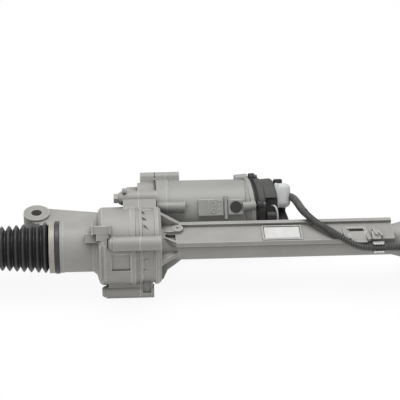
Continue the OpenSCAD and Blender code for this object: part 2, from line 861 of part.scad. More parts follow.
// Toothed rim of a belt pulley, with the teeth cut along X
module pulley(x0, x1, r, hub_r, teeth) {
    tooth_depth = 1.4;
    difference() {
        union() {
            rod_x(x0, x1, r);
            rod_x(x0, x0 + 1.2, r + belt_t + 1);
            rod_x(x1 - 1.2, x1, r + belt_t + 1);
        }
        rod_x(x0 - 1, x1 + 1, hub_r);
        plate_x(x0 + 1.2, x1 - 1.2) for (i = [0:teeth - 1]) rotate(i * 360 / teeth)
            translate([r - tooth_depth, -tooth_step_belt / 4]) square([tooth_depth + 1, tooth_step_belt / 2]);
    }
}

module large_pulley() {
    color(steel_grey) in_frame() difference() {
        pulley(belt_x, nut_end_x, large_pulley_r, nut_r + seat_gap, large_teeth);
        for (a = [0:60:300]) rotate([a, 0, 0])
            rod_x(belt_x - 1, nut_end_x + 1, 4.5, 0, (large_pulley_r + nut_r) / 2);
    }
}

module small_pulley() {
    color(steel_grey) in_frame() at_motor()
        pulley(belt_x, nut_end_x, small_pulley_r, rotor_shaft_r + seat_gap, small_teeth);
}

// Belt round both pulleys, with a running gap to their teeth
module drive_belt() {
    color(rubber_black) in_frame() plate_x(belt_x + 1.6, nut_end_x - 1.6) difference() {
        belt_shape(large_pulley_r + belt_gap + belt_t, small_pulley_r + belt_gap + belt_t, 0);
        belt_shape(large_pulley_r + belt_gap, small_pulley_r + belt_gap, 0);
    }
}

module rotor_shaft() {
    color(steel_grey) in_frame() {
        rod_x(belt_x - 3, motor_wall_x + 4, rotor_shaft_r, motor_y);
        rod_x(rotor_x - 6, rotor_x, rotor_shaft_r + 3, motor_y);
    }
}

// Laminated core of the rotor with its magnets set round it
module rotor_magnets() {
    color(copper_red) in_frame() difference() {
        rod_x(rotor_x, rotor_x + rotor_l, rotor_r, motor_y);
        rod_x(rotor_x - 1, rotor_x + rotor_l + 1, rotor_shaft_r + seat_gap, motor_y);
        for (a = [0:45:315])
            at_motor() rotate([a, 0, 0]) translate([rotor_x - 1, -0.8, rotor_r - 2.5])
                cube([rotor_l + 2, 1.6, 4]);
    }
}

// Stator: a laminated ring with twelve wound teeth
module stator() {
    color(copper_red) in_frame() at_motor() plate_x(stator_x, stator_x + stator_l) difference() {
        circle(r = motor_bore_r - seat_gap, $fn = 96);
        circle(r = stator_in_r, $fn = 96);
        for (a = [0:30:330]) rotate(a) {
            translate([stator_in_r - 1, -1]) square([3, 2]);
            translate([stator_in_r + 1.5, -2.5]) square([9, 5]);
        }
    }
}

// A ball bearing about the X axis: outer ring, inner ring and balls
module bearing_x(x, w, r_in, r_out) {
    pitch = (r_in + r_out) / 2;
    ball = (r_out - r_in) * 0.27;
    n = floor(2 * PI * pitch / (2.6 * ball));
    for (ring = [[r_in, pitch - ball * 0.55], [pitch + ball * 0.55, r_out]]) difference() {
        rod_x(x, x + w, ring[1]);
        rod_x(x - 1, x + w + 1, ring[0]);
        along_x(x + w / 2) rotate_extrude() translate([pitch, 0]) circle(r = ball + run_gap, $fn = 32);
    }
    for (i = [0:n - 1]) rotate([i * 360 / n, 0, 0]) translate([x + w / 2, 0, pitch])
        sphere(r = ball, $fn = 32);
}

module motor_front_bearing() {
    color(steel_grey) in_frame() at_motor()
        bearing_x(motor_face_x + 2, motor_bearing_w, rotor_shaft_r + run_gap, motor_bearing_r - seat_gap);
}

module motor_rear_bearing() {
    color(steel_grey) in_frame() at_motor()
        bearing_x(motor_wall_x - motor_bearing_w, motor_bearing_w, rotor_shaft_r + run_gap,
            motor_bearing_r - seat_gap);
}

// A lug of the motor at angle a, as outline in Y and Z
// Length of each lug on the motor's body, and how deep its bolt's head sits in it
function lug_length(a) = a == 137 ? 24 : a == 50 ? 19 : 9;
function bolt_sink(a) = a == 137 || a == 50 ? 5 : -0.2;

module motor_lug(a, reach) {
    strap([motor_lug_r * cos(a), motor_lug_r * sin(a)], lug_boss_r,
        [reach * cos(a), reach * sin(a)], lug_boss_r + 1);
}

module motor_front_cover() {
    color(motor_grey) in_frame() difference() {
        union() {
            rod_x(motor_face_x, motor_cover_x, motor_r, motor_y);
            rod_x(motor_face_x - pilot_l, motor_face_x + 1, pilot_r - seat_gap, motor_y);
            at_motor() plate_x(motor_face_x, motor_cover_x)
                for (a = motor_lugs) motor_lug(a, 36);
        }
        rod_x(motor_face_x + 2, motor_cover_x + 1, motor_bearing_r, motor_y);
        rod_x(motor_face_x - pilot_l - 1, motor_cover_x, rotor_shaft_r + 2, motor_y);
        motor_screw_holes(motor_face_x - 1, motor_cover_x + 1);
    }
}

// Cast body of the motor: a cup closed by a bearing wall, with a slanted end flange
module motor_housing() {
    color(motor_grey) in_frame() difference() {
        union() {
            rod_x(motor_cover_x, motor_end_x - 9, motor_r - 1, motor_y);
            rod_x(motor_cover_x, motor_cover_x + 3, motor_r, motor_y);
            at_motor() for (a = motor_lugs)
                plate_x(motor_cover_x, motor_cover_x + lug_length(a)) motor_lug(a, 36);
            at_ecu() rod_x(-5, 0, motor_r + 1);
            at_ecu() rod_x(-14, -4, motor_r - 4, 0, 0, motor_r);
            motor_pads();
            ecu_screw_bosses();
        }
        rod_x(motor_cover_x - 1, motor_wall_x - motor_bearing_w - 3, motor_bore_r, motor_y);
        rod_x(motor_cover_x, motor_wall_x, motor_bearing_r, motor_y);
        rod_x(motor_cover_x, motor_end_x + 20, rotor_shaft_r + 3, motor_y);
        at_ecu() rod_x(-8, 20, ecu_r - 5);
        motor_screw_holes(motor_cover_x - 1, motor_cover_x + 40);
        for (a = motor_lugs)
            rod_x(motor_cover_x + lug_length(a) - bolt_sink(a), motor_cover_x + lug_length(a) + 6,
                motor_screw_r + 2.2, motor_y + motor_lug_r * cos(a), motor_lug_r * sin(a));
        at_ecu_screws() rod_x(-12, 1, 2.4);
        at_motor() at_front() translate([vent_x, 0, 0]) rotate([90, 0, 0])
            cylinder(h = motor_r + 4, r = vent_r + run_gap);
    }
}

// Turns children so that -Y is the front of the motor, where its pads are
module at_front() {
    rotate([pad_turn, 0, 0]) children();
}

// Raised machined pads, the rib and the square boss on the front of the motor
module motor_pads() {
    at_motor() at_front() {
        translate([pad_x, -motor_r - 1.5, -11]) cube([33, 12, 22]);
        translate([pad_x + 35, -motor_r - 0.6, -16]) cube([3.5, 10, 32]);
        translate([vent_x - 10, -motor_r - 1.5, -10]) cube([20, 12, 20]);
    }
}

// Screws of the control unit, spread round the slanted joint
module at_ecu_screws() {
    at_ecu() for (a = ecu_screw_angles)
        translate([0, ecu_screw_ring * cos(a), ecu_screw_ring * sin(a)]) children();
}

module ecu_screw_bosses() {
    at_ecu_screws() rod_x(-17, 0, 6);
}

module motor_bolts() {
    color(steel_grey) in_frame() for (a = motor_lugs) {
        y = motor_y + motor_lug_r * cos(a);
        z = motor_lug_r * sin(a);
        seat = motor_cover_x + lug_length(a) - max(bolt_sink(a), 0);
        rod_x(motor_face_x - 6, seat + 0.5, motor_screw_r, y, z);
        rod_x(seat, seat + 5, motor_screw_r + 1.7, y, z);
    }
}

module ecu_gasket() {
    color(rubber_black) in_frame() at_ecu() difference() {
        rod_x(0, gasket_t, motor_r + 0.5);
        rod_x(-1, gasket_t + 1, ecu_r - 5);
        for (a = ecu_screw_angles)
            rod_x(-1, gasket_t + 1, 7, ecu_screw_ring * cos(a), ecu_screw_ring * sin(a));
    }
}

module ecu_board() {
    color([0.1, 0.35, 0.2]) in_frame() at_ecu() {
        plate_x(gasket_t + 6, gasket_t + 7.6) ecu_outline(-2.5 - ecu_wall - free_gap);
        for (a = [20:72:308]) rotate([a, 0, 0]) translate([gasket_t + 7.6, 14, -4]) cube([9, 9, 9]);
    }
}

// Outline of the control unit's cover: round, with a flat towards the rack
module ecu_outline(grow) {
    intersection() {
        circle(r = ecu_r + grow, $fn = 96);
        translate([-ecu_r + 4 - grow, -ecu_r - 5]) square([2 * ecu_r + 10, 2 * ecu_r + 10]);
    }
}

module ecu_cover() {
    color(cover_grey) in_frame() at_ecu() difference() {
        union() {
            plate_x(gasket_t, gasket_t + 4) difference() {
                circle(r = motor_r, $fn = 96);
                for (a = ecu_screw_angles)
                    translate([ecu_screw_ring * cos(a), ecu_screw_ring * sin(a)]) circle(r = 6.8, $fn = 32);
            }
            plate_x(gasket_t, ecu_l * 0.45) ecu_outline(0);
            plate_x(gasket_t, ecu_l) ecu_outline(-2.5);
            ecu_screw_ears();
        }
        plate_x(gasket_t - 1, ecu_l - ecu_wall) ecu_outline(-2.5 - ecu_wall);
        for (a = ecu_screw_angles)
            rod_x(gasket_t - 1, gasket_t + 20, 2.4, ecu_screw_ring * cos(a), ecu_screw_ring * sin(a));
        for (a = ecu_screw_angles)
            rod_x(gasket_t + 8, ecu_l, 4.4, ecu_screw_ring * cos(a), ecu_screw_ring * sin(a));
        connector_hole(0);
    }
}

module ecu_screw_ears() {
    for (a = ecu_screw_angles)
        rod_x(gasket_t, gasket_t + 8, 6, ecu_screw_ring * cos(a), ecu_screw_ring * sin(a));
}

module ecu_screws() {
    color(steel_grey) in_frame() at_ecu_screws() {
        rod_x(-11, gasket_t + 8.5, 2.2);
        rod_x(gasket_t + 8, gasket_t + 12, 3.4);
    }
}

// Openings in the end of the cover for the power and the signal socket
module connector_hole(gap) {
    translate([ecu_l - 8, -30 + gap, -24 + gap]) cube([12, 50 - 2 * gap, 26 - 2 * gap]);
    rod_x(ecu_l - 8, ecu_l + 4, 9 - gap, plug_y, plug_z);
}

// Connector block of the control unit: its base, power sockets and signal socket
module ecu_connector() {
    color(plastic_black) in_frame() at_ecu() difference() {
        union() {
            connector_hole(0.05);
            translate([ecu_l, -34, -26]) cube([9, 32, 28]);
            translate([ecu_l, -2, -24]) cube([12, 24, 26]);
            translate([ecu_l - 8, plug_y - 6, 0]) cube([5, 12, plug_z - 4]);
        }
        translate([ecu_l + 1, -31, -23]) cube([12, 26, 22]);
        translate([ecu_l + 4, 1, -21]) cube([12, 18, 20]);
    }
}

// Signal plug under its white cap with a rounded end, and the black lock on its top
module connector_cap() {
    color(cap_white) in_frame() at_ecu() difference() {
        union() {
            hull() {
                translate([ecu_l + 0.1, plug_y - 17, plug_z - cap_h / 2]) cube([7, 34, cap_h]);
                for (z = [-4, 4]) translate([ecu_l + cap_l - 9, plug_y, plug_z + z])
                    rotate([90, 0, 0]) cylinder(h = 30, r = 9, center = true, $fn = 32);
            }
            translate([ecu_l + 2, plug_y - 5, plug_z + cap_h / 2 - 1]) cube([11, 10, 6]);
        }
        translate([ecu_l - 1, plug_y - 15, plug_z - cap_h / 2 + 2]) cube([9, 30, cap_h - 4]);
    }
}

module vent_plug() {
    color(plastic_black) in_frame() at_motor() at_front() translate([vent_x, -motor_r + 6, 0])
        rotate([90, 0, 0]) {
            cylinder(h = 7.5, r = vent_r);
            translate([0, 0, 7.5]) cylinder(h = 1, r = vent_r + 0.6);
        }
}

module label_plate() {
    color([0.86, 0.87, 0.88]) in_frame()
        translate([label_x, shelf_front_y + 2, shelf_top]) cube([48, 31, 0.5]);
}

// Sweep of a round section along points, with the rings square to the mean direction
function unit(v) = v / norm(v);
function path_dir(p, i) = unit(p[min(i + 1, len(p) - 1)] - p[max(i - 1, 0)]);
function carry(side, d) = unit(side - (side * d) * d);
function path_sides(p, start) = [
    for (i = 0, s = carry(start, path_dir(p, 0)); i < len(p); i = i + 1,
        s = i < len(p) ? carry(s, path_dir(p, i)) : s) s
];

module sweep_tube(p, r, sides, start) {
    n = len(p);
    s = path_sides(p, start);
    rings = [
        for (i = [0:n - 1], k = [0:sides - 1])
            let (d = path_dir(p, i), a = k * 360 / sides)
            p[i] + r * (cos(a) * s[i] + sin(a) * cross(d, s[i]))
    ];
    walls = [
        for (i = [0:n - 2], k = [0:sides - 1])
            let (a = i * sides + k, b = i * sides + (k + 1) % sides)
            [a, a + sides, b + sides, b]
    ];
    ends = [
        [for (k = [0:sides - 1]) k],
        [for (k = [sides - 1:-1:0]) (n - 1) * sides + k]
    ];
    polyhedron(points = rings, faces = concat(walls, ends), convexity = 8);
}

// Points between the chosen ones, on a smooth curve through them
function curve_point(a, b, c, d, t) =
    0.5 * (2 * b + (c - a) * t + (2 * a - 5 * b + 4 * c - d) * t * t
    + (3 * b - a - 3 * c + d) * t * t * t);
function smooth_path(p, steps) = [
    for (i = [0:len(p) - 2], j = [0:(i == len(p) - 2 ? steps : steps - 1)])
        curve_point(p[max(i - 1, 0)], p[i], p[i + 1], p[min(i + 2, len(p) - 1)], j / steps)
];

module harness_conduit() {
    color(rubber_black) in_frame()
        sweep_tube(smooth_path(conduit_points, 3), conduit_r, 10, [0, 0, 1]);
}

// Plastic clip that holds the conduit on the front of the shelf
module conduit_clip() {
    color(cap_white) in_frame() difference() {
        union() {
            rod_x(clip_x, clip_x + clip_l, conduit_r + 2.2, clip_y, clip_z);
            translate([clip_x, clip_y, clip_z - 2])
                cube([clip_l, shelf_front_y - clip_y, 9]);
        }
        rod_x(clip_x - 1, clip_x + clip_l + 1, conduit_r + 0.3, clip_y, clip_z);
    }
}

// Involute of the pinion's teeth
function involute_deg(a) = (tan(a) - a * PI / 180) * 180 / PI;
half_tooth_deg = (tooth_step / 2 + 2 * tooth_shift * tan(pressure_angle) - backlash / 2) / 2
    / pitch_r * 180 / PI;
function flank_deg(r) = half_tooth_deg + involute_deg(pressure_angle)
    - (r <= base_r ? 0 : involute_deg(acos(base_r / r)));
function polar(r, a) = [r * cos(a), r * sin(a)];
flank_steps = 5;
flank_r = [for (i = [0:flank_steps]) base_r + (pinion_tip_r - base_r) * i / flank_steps];

module pinion_profile() {
    polygon([
        for (t = [0:pinion_teeth - 1])
            let (mid = 90 + t * 360 / pinion_teeth)
            each concat(
                [polar(pinion_root_r, mid - flank_deg(base_r))],
                [for (r = flank_r) polar(r, mid - flank_deg(r))],
                [for (i = [flank_steps:-1:0]) polar(flank_r[i], mid + flank_deg(flank_r[i]))],
                [polar(pinion_root_r, mid + flank_deg(base_r))]
            )
    ]);
}

module pinion_shaft() {
    color(steel_grey) in_frame() at_pinion() difference() {
        union() {
            plate_z(-pinion_teeth_l / 2, pinion_teeth_l / 2) pinion_profile();
            translate([0, 0, needle_low - 3])
                cylinder(h = needle_h + 3 + 4.5, r = stub_r - run_gap);
            translate([0, 0, pinion_teeth_l / 2 - 0.5])
                cylinder(h = pinion_top - pinion_teeth_l / 2 + 0.5, r = pinion_neck_r - run_gap);
        }
        translate([0, 0, torsion_low]) cylinder(h = pinion_top, r = torsion_r + seat_gap);
    }
}

module torsion_bar() {
    color(steel_grey) in_frame() at_pinion() {
        translate([0, 0, torsion_low]) cylinder(h = 12, r = torsion_r);
        translate([0, 0, torsion_low + 11]) cylinder(h = torsion_high - torsion_low - 22, r = 2.7);
        translate([0, 0, torsion_high - 12]) cylinder(h = 12, r = torsion_r);
    }
}

module input_shaft() {
    color(steel_grey) in_frame() at_pinion() difference() {
        union() {
            translate([0, 0, pinion_top + 0.3])
                cylinder(h = input_top - spline_l - 6 - pinion_top - 0.3, r = input_r);
            translate([0, 0, input_top - spline_l - 7]) cylinder(h = 8, r = input_r - 1.4);
            plate_z(input_top - spline_l, input_top) spline_profile();
        }
        translate([0, 0, pinion_top - 1])
            cylinder(h = torsion_high - pinion_top + 1, r = torsion_r + seat_gap);
    }
}

module spline_profile() {
    teeth = 36;
    polygon([
        for (i = [0:teeth - 1]) each [
            polar(input_r - 0.8, (i - 0.3) * 360 / teeth),
            polar(input_r, (i - 0.15) * 360 / teeth),
            polar(input_r, (i + 0.15) * 360 / teeth),
            polar(input_r - 0.8, (i + 0.3) * 360 / teeth)
        ]
    ]);
}

module pinion_needle_bearing() {
    color(steel_grey) in_frame() at_pinion() translate([0, 0, needle_low]) difference() {
        cylinder(h = needle_h, r = needle_r - seat_gap);
        translate([0, 0, -1]) cylinder(h = needle_h + 2, r = stub_r);
    }
}

module pinion_ball_bearing() {
    color(steel_grey) in_frame() at_pinion() translate([0, 0, seat_low]) rotate([0, -90, 0])
        bearing_x(0, seat_h, pinion_neck_r, ball_bearing_r - seat_gap);
}

module pinion_bearing_nut() {
    color(steel_grey) in_frame() at_pinion() translate([0, 0, seat_low + seat_h]) difference() {
        cylinder(h = bearing_nut_h, r = ball_bearing_r - seat_gap);
        translate([0, 0, -1]) cylinder(h = bearing_nut_h + 2, r = pinion_neck_r + 2);
        for (a = [0:90:270]) rotate(a) translate([ball_bearing_r - 3, -2.5, -1])
            cube([5, 5, bearing_nut_h + 2]);
    }
}

module pinion_end_cap() {
    color(steel_grey) in_frame() at_pinion() translate([0, 0, tower_low]) difference() {
        cylinder(h = 7, r = end_cap_r - seat_gap);
        translate([0, 0, -1]) cylinder(h = 5, r = 7, $fn = 6);
    }
}

// Ring of the torque sensor, pressed on the input shaft
module torque_sensor_magnet() {
    color(plastic_black) in_frame() at_pinion() translate([0, 0, tower_head + 6]) difference() {
        cylinder(h = 14, r = 15);
        translate([0, 0, -1]) cylinder(h = 16, r = input_r + seat_gap);
    }
}

module sensor_cover() {
    color(plastic_black) in_frame() difference() {
        union() {
            at_pinion() {
                plate_z(tower_head, tower_head + 4) sensor_outline();
                translate([0, 0, tower_head]) cylinder(h = sensor_h - 3, r = sensor_r);
                translate([0, 0, sensor_top - 3]) cylinder(h = 3, r1 = sensor_r, r2 = sensor_r - 3);
            }
            sensor_socket();
        }
        at_pinion() {
            translate([0, 0, tower_head - 1]) cylinder(h = sensor_h - 3, r = sensor_r - 2.5);
            translate([0, 0, tower_head]) cylinder(h = sensor_h + 1, r = input_r + 1);
            for (a = sensor_screw_angles)
                translate([sensor_screw_r * cos(a), sensor_screw_r * sin(a), tower_head - 1])
                    cylinder(h = 6, r = 2.3);
        }
    }
}

// Socket on the side of the sensor cover, over the end of the conduit
module sensor_socket() {
    plug_end = conduit_points[len(conduit_points) - 1];
    hull() {
        translate([plug_end[0] - 9, plug_end[1] - 7, plug_end[2] + 17.4]) cube([18, 14, 12]);
        translate([pinion_x + 2, pinion_y - 10, plug_end[2] + 17.4]) cube([8, 14, 12]);
    }
}

module sensor_screws() {
    color(steel_grey) in_frame() at_pinion() for (a = sensor_screw_angles)
        translate([sensor_screw_r * cos(a), sensor_screw_r * sin(a), 0]) {
            translate([0, 0, tower_head - 4]) cylinder(h = 9, r = 2.1);
            translate([0, 0, tower_head + 4]) cylinder(h = 3.5, r = 4);
        }
}

// Plug on the sensor end of the conduit
module sensor_connector() {
    plug_end = conduit_points[len(conduit_points) - 1];
    color(plastic_black) in_frame() translate(plug_end) {
        translate([0, 0, 0.35]) cylinder(h = 4, r = conduit_r + 1.5);
        translate([-8, -6, 4]) cube([16, 12, 13.1]);
        translate([-3, -8, 7]) cube([6, 3, 8]);
    }
}

module input_dust_cap() {
    color(rubber_black) in_frame() at_pinion() translate([0, 0, sensor_top]) difference() {
        union() {
            cylinder(h = 3, r = sensor_r - 4);
            translate([0, 0, 3]) cylinder(h = 8, r1 = sensor_r - 5, r2 = input_r + 3);
            translate([0, 0, 11]) cylinder(h = 2, r = input_r + 3);
        }
        translate([0, 0, -1]) cylinder(h = 15, r = input_r + run_gap);
    }
}

// Yoke that presses the rack into mesh, hollow for its spring
module yoke() {
    color(motor_grey) in_frame() difference() {
        translate([pinion_x, 2, 0]) rotate([-90, 0, 0]) cylinder(h = yoke_back_y - 2, r = yoke_r);
        rod_x(pinion_x - 2 * yoke_r, pinion_x + 2 * yoke_r, rack_r + run_gap);
        translate([pinion_x, yoke_back_y - 9, 0]) rotate([-90, 0, 0]) cylinder(h = 10, r = spring_r + 2);
    }
}

module yoke_spring() {
    turns = 3;
    steps = 12;
    y0 = yoke_back_y - 9 + spring_wire_r;
    y1 = yoke_plug_in_y - spring_wire_r;
    color(steel_grey) in_frame() translate([pinion_x, 0, 0]) sweep_tube([
        for (i = [0:turns * steps])
            let (a = i * 360 / steps)
            [spring_r * cos(a), y0 + (y1 - y0) * i / (turns * steps), spring_r * sin(a)]
    ], spring_wire_r, 6, [1, 0, 0]);
}

module yoke_plug() {
    color(steel_grey) in_frame() translate([pinion_x, yoke_plug_in_y, 0]) rotate([-90, 0, 0])
        difference() {
            cylinder(h = yoke_plug_out_y - yoke_plug_in_y, r = yoke_plug_r - seat_gap);
            translate([0, 0, 6]) cylinder(h = 10, r = 9, $fn = 6);
        }
}

function fold_r(i) = bellows_d / 2 - bellows_taper / 2 * (min(i, 6) + max(i - 12, 0)) * fold_pitch;

// Outer line of a bellows as [radius, place]; inset moves it inwards for the inner line
function bellows_line(inset) = concat(
    [[neck_r - inset, shoulder_u + 0.3], [neck_r - inset, shoulder_u + cuff_l]],
    [for (i = [0:folds - 1]) each [
        [fold_r(i) - fold_depth - inset, shoulder_u + cuff_l + i * fold_pitch + 0.8],
        [fold_r(i) - inset, shoulder_u + cuff_l + (i + 0.42) * fold_pitch],
        [fold_r(i) - inset, shoulder_u + cuff_l + (i + 0.66) * fold_pitch]
    ]],
    [
        [rod_r + cuff_wall + 3 - inset, bellows_end_u - 2],
        [rod_r + cuff_wall - inset * 0.8, bellows_end_u],
        [rod_r + cuff_wall - inset * 0.8, bellows_end_u + small_cuff_l]
    ]
);

module bellows() {
    color(rubber_black) difference() {
        along_x(0) rotate_extrude($fn = 64) polygon(concat(
            bellows_line(0),
            [[0, bellows_end_u + small_cuff_l], [0, shoulder_u + 0.3]]
        ));
        along_x(0) rotate_extrude($fn = 64) polygon(concat(
            bellows_line(bellows_wall * 1.3),
            [[0, bellows_end_u + small_cuff_l], [0, shoulder_u + 0.3]]
        ));
        rod_x(shoulder_u - 1, shoulder_u + cuff_l, spigot_r + seat_gap);
        rod_x(bellows_end_u - 1, bellows_end_u + small_cuff_l + 1, rod_r + run_gap);
    }
}

module bellows_left() {
    in_frame() at_left_ball() bellows();
}

module bellows_right() {
    in_frame() at_right_ball() bellows();
}

// Band with a crimped ear, about the X axis
module clamp_band(x, r, ear_turn) {
    difference() {
        union() {
            rod_x(x, x + clamp_w, r + clamp_t);
            rotate([ear_turn, 0, 0]) translate([x + 0.5, -4, r]) cube([clamp_w - 1, 8, 4]);
        }
        rod_x(x - 1, x + clamp_w + 1, r);
    }
}

module large_clamps() {
    color([0.75, 0.75, 0.74]) in_frame() {
        at_left_ball() clamp_band(shoulder_u + cuff_l - clamp_w - 0.8, neck_r + seat_gap, 150);
        at_right_ball() clamp_band(shoulder_u + cuff_l - clamp_w - 0.8, neck_r + seat_gap, 150);
    }
}

module small_clamp() {
    color([0.75, 0.75, 0.74])
        clamp_band(bellows_end_u + 3, rod_r + cuff_wall + 0.3, 90);
}

module small_clamp_left() {
    in_frame() at_left_ball() small_clamp();
}

module small_clamp_right() {
    in_frame() at_right_ball() small_clamp();
}

// A shape turned about the X axis, drawn with its radius first and its place second
module turned_x() {
    along_x(0) rotate_extrude($fn = 96) intersection() {
        children();
        translate([0, -rod_l]) square([rod_l, 3 * rod_l]);
    }
}

module bar_outline(x0, x1, r) {
    translate([-r, x0]) square([2 * r, x1 - x0]);
}

// Inner ball joint's housing, which screws into the end of the rack
module ball_socket() {
    color(steel_grey) difference() {
        turned_x() difference() {
            union() {
                bar_outline(-socket_to_ball, -socket_to_ball + socket_l, socket_r);
                bar_outline(-socket_to_ball - rack_end_thread, -socket_to_ball + 1, stud_r);
            }
            circle(r = liner_r + free_gap, $fn = 96);
            bar_outline(0, socket_l, liner_r + free_gap - 1);
            polygon([[0, 10], [liner_r - 1, 10], [liner_r + 3.5, 20], [0, 20]]);
        }
        for (a = [90, 270]) rotate([a, 0, 0])
            translate([-socket_to_ball + 4, -30, socket_r - 1.5]) cube([14, 60, 5]);
    }
}

// Plastic liner of the ball joint, open where the rod's neck passes
module socket_liner() {
    color(nylon_cream) turned_x() difference() {
        circle(r = liner_r, $fn = 96);
        circle(r = joint_ball_r + run_gap, $fn = 96);
        bar_outline(5, liner_r + 1, 2 * liner_r);
        bar_outline(0, liner_r + 1, joint_ball_r - 0.5);
    }
}

// Tie rod: ball, neck, shaft with flats and the outer thread
module tie_rod() {
    thread_x = rod_l - rod_thread_l;
    color(steel_grey) union() {
        turned_x() union() {
            circle(r = joint_ball_r, $fn = 96);
            bar_outline(0, 30, rod_r - 1);
            bar_outline(29, thread_x - 24, rod_r);
            bar_outline(thread_x - 11, rod_l - 2, rod_r - 0.5);
            polygon([[0, rod_l - 3], [rod_r - 0.5, rod_l - 2], [rod_r - 2, rod_l], [0, rod_l]]);
        }
        hex_x(thread_x - 25, thread_x - 10, nut_flats - 5);
    }
}

module lock_nut() {
    nut_x0 = rod_l - rod_thread_l + 2;
    difference() {
        hex_x(nut_x0, nut_x0 + 12, nut_flats);
        rod_x(nut_x0 - 1, nut_x0 + 13, rod_r - 0.5 + seat_gap);
    }
}

module ball_socket_left() {
    in_frame() at_left_ball() ball_socket();
}

module ball_socket_right() {
    in_frame() at_right_ball() ball_socket();
}

module socket_liner_left() {
    in_frame() at_left_ball() socket_liner();
}

module socket_liner_right() {
    in_frame() at_right_ball() socket_liner();
}

module tie_rod_left() {
    in_frame() at_left_ball() tie_rod();
}

module tie_rod_right() {
    in_frame() at_right_ball() tie_rod();
}

module lock_nut_left() {
    color(steel_grey) in_frame() at_left_ball() lock_nut();
}

module lock_nut_right() {
    color(steel_grey) in_frame() at_right_ball() lock_nut();
}

rack_housing();
gear_housing();
housing_bolts();
rack_bar();
rack_bush();
ball_nut();
nut_balls();
ball_return_tube();
nut_bearing_ring();
nut_bearing_balls();
bearing_lock_ring();
large_pulley();
drive_belt();
small_pulley();
rotor_shaft();
rotor_magnets();
stator();
motor_front_bearing();
motor_rear_bearing();
motor_front_cover();
motor_housing();
motor_bolts();
ecu_gasket();
ecu_board();
ecu_cover();
ecu_screws();
ecu_connector();
connector_cap();
lock_nut_right();
vent_plug();
label_plate();
harness_conduit();
conduit_clip();
pinion_shaft();
input_shaft();
torsion_bar();
pinion_needle_bearing();
pinion_ball_bearing();
pinion_bearing_nut();
pinion_end_cap();
torque_sensor_magnet();
sensor_cover();
sensor_screws();
sensor_connector();
input_dust_cap();
yoke();
yoke_spring();
yoke_plug();
large_clamps();
bellows_left();
bellows_right();
small_clamp_left();
small_clamp_right();
ball_socket_left();
ball_socket_right();
socket_liner_left();
socket_liner_right();
tie_rod_left();
tie_rod_right();
lock_nut_left();
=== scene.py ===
import math

import bmesh
import bpy
from mathutils import Matrix, Vector


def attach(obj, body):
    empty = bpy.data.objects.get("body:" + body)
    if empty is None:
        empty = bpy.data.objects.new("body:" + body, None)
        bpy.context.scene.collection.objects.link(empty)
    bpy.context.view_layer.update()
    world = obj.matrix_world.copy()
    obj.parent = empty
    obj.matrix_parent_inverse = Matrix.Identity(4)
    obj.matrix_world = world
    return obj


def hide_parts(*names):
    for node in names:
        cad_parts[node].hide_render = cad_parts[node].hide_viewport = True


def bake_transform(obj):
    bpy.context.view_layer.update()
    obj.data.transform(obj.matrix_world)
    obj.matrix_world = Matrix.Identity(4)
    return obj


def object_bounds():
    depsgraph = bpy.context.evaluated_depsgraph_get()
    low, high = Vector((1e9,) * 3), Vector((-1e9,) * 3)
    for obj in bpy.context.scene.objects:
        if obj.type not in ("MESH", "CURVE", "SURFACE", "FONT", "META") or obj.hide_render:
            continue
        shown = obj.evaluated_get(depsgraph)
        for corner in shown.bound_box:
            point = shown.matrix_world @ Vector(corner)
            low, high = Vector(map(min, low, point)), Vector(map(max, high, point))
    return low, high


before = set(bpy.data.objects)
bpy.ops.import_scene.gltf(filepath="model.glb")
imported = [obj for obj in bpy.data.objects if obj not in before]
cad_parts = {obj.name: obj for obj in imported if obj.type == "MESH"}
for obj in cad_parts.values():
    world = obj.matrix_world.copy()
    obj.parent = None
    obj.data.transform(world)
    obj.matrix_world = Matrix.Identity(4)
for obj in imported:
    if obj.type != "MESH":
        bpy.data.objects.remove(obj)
cad_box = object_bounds()

# Viewpoint: a long lens a little over two metres off, above the gear and slightly to
# the left of its gearbox, with the picture cut off left and right of the gear.
rack_y = -0.062
view_yaw = math.radians(4.0)
view_height = math.radians(35.0)
view_roll = math.radians(1.0)
view_distance = 2.05
view_centre = Vector((0.2173, rack_y + 0.0333, 0.0474))
view_width = 0.528

toward_camera = Vector((
    -math.sin(view_yaw) * math.cos(view_height),
    -math.cos(view_yaw) * math.cos(view_height),
    math.sin(view_height),
))
camera_data = bpy.data.cameras.new("camera")
camera = bpy.data.objects.new("camera", camera_data)
bpy.context.scene.collection.objects.link(camera)
camera_data.sensor_width = 36
camera_data.lens = camera_data.sensor_width * view_distance / view_width
camera_data.clip_start = 0.1
camera_data.clip_end = 30
camera.location = view_centre + toward_camera * view_distance
turn = toward_camera.to_track_quat("Z", "Y").to_matrix() @ Matrix.Rotation(view_roll, 3, "Z")
camera.rotation_euler = turn.to_euler()
bpy.context.scene.camera = camera

# Castings of the gearbox and the rack: die-cast aluminium, shot-blasted to an even
# satin grey. Edges carry a painted highlight and inner corners painted shade. Small ribs,
# nubs and a gusset from the mould stand on the flange.


def ranged(nodes, links, value, start, end, low=0.0, high=1.0):
    """Output of a Map Range node, which turns start to end of a value into low to high."""
    node = nodes.new("ShaderNodeMapRange")
    for title, number in (("From Min", start), ("From Max", end), ("To Min", low), ("To Max", high)):
        node.inputs[title].default_value = number
    links.new(value, node.inputs["Value"])
    return node.outputs["Result"]


def tinted(nodes, links, share, under, over):
    """Colour output of a Mix node: a share of one colour over another, which may be a node's."""
    node = nodes.new("ShaderNodeMix")
    node.data_type = "RGBA"
    factor, first, second = node.inputs[0], node.inputs[6], node.inputs[7]
    links.new(share, factor)
    if isinstance(under, bpy.types.NodeSocket):
        links.new(under, first)
    else:
        first.default_value = (*under, 1)
    second.default_value = (*over, 1)
    return node.outputs[2]
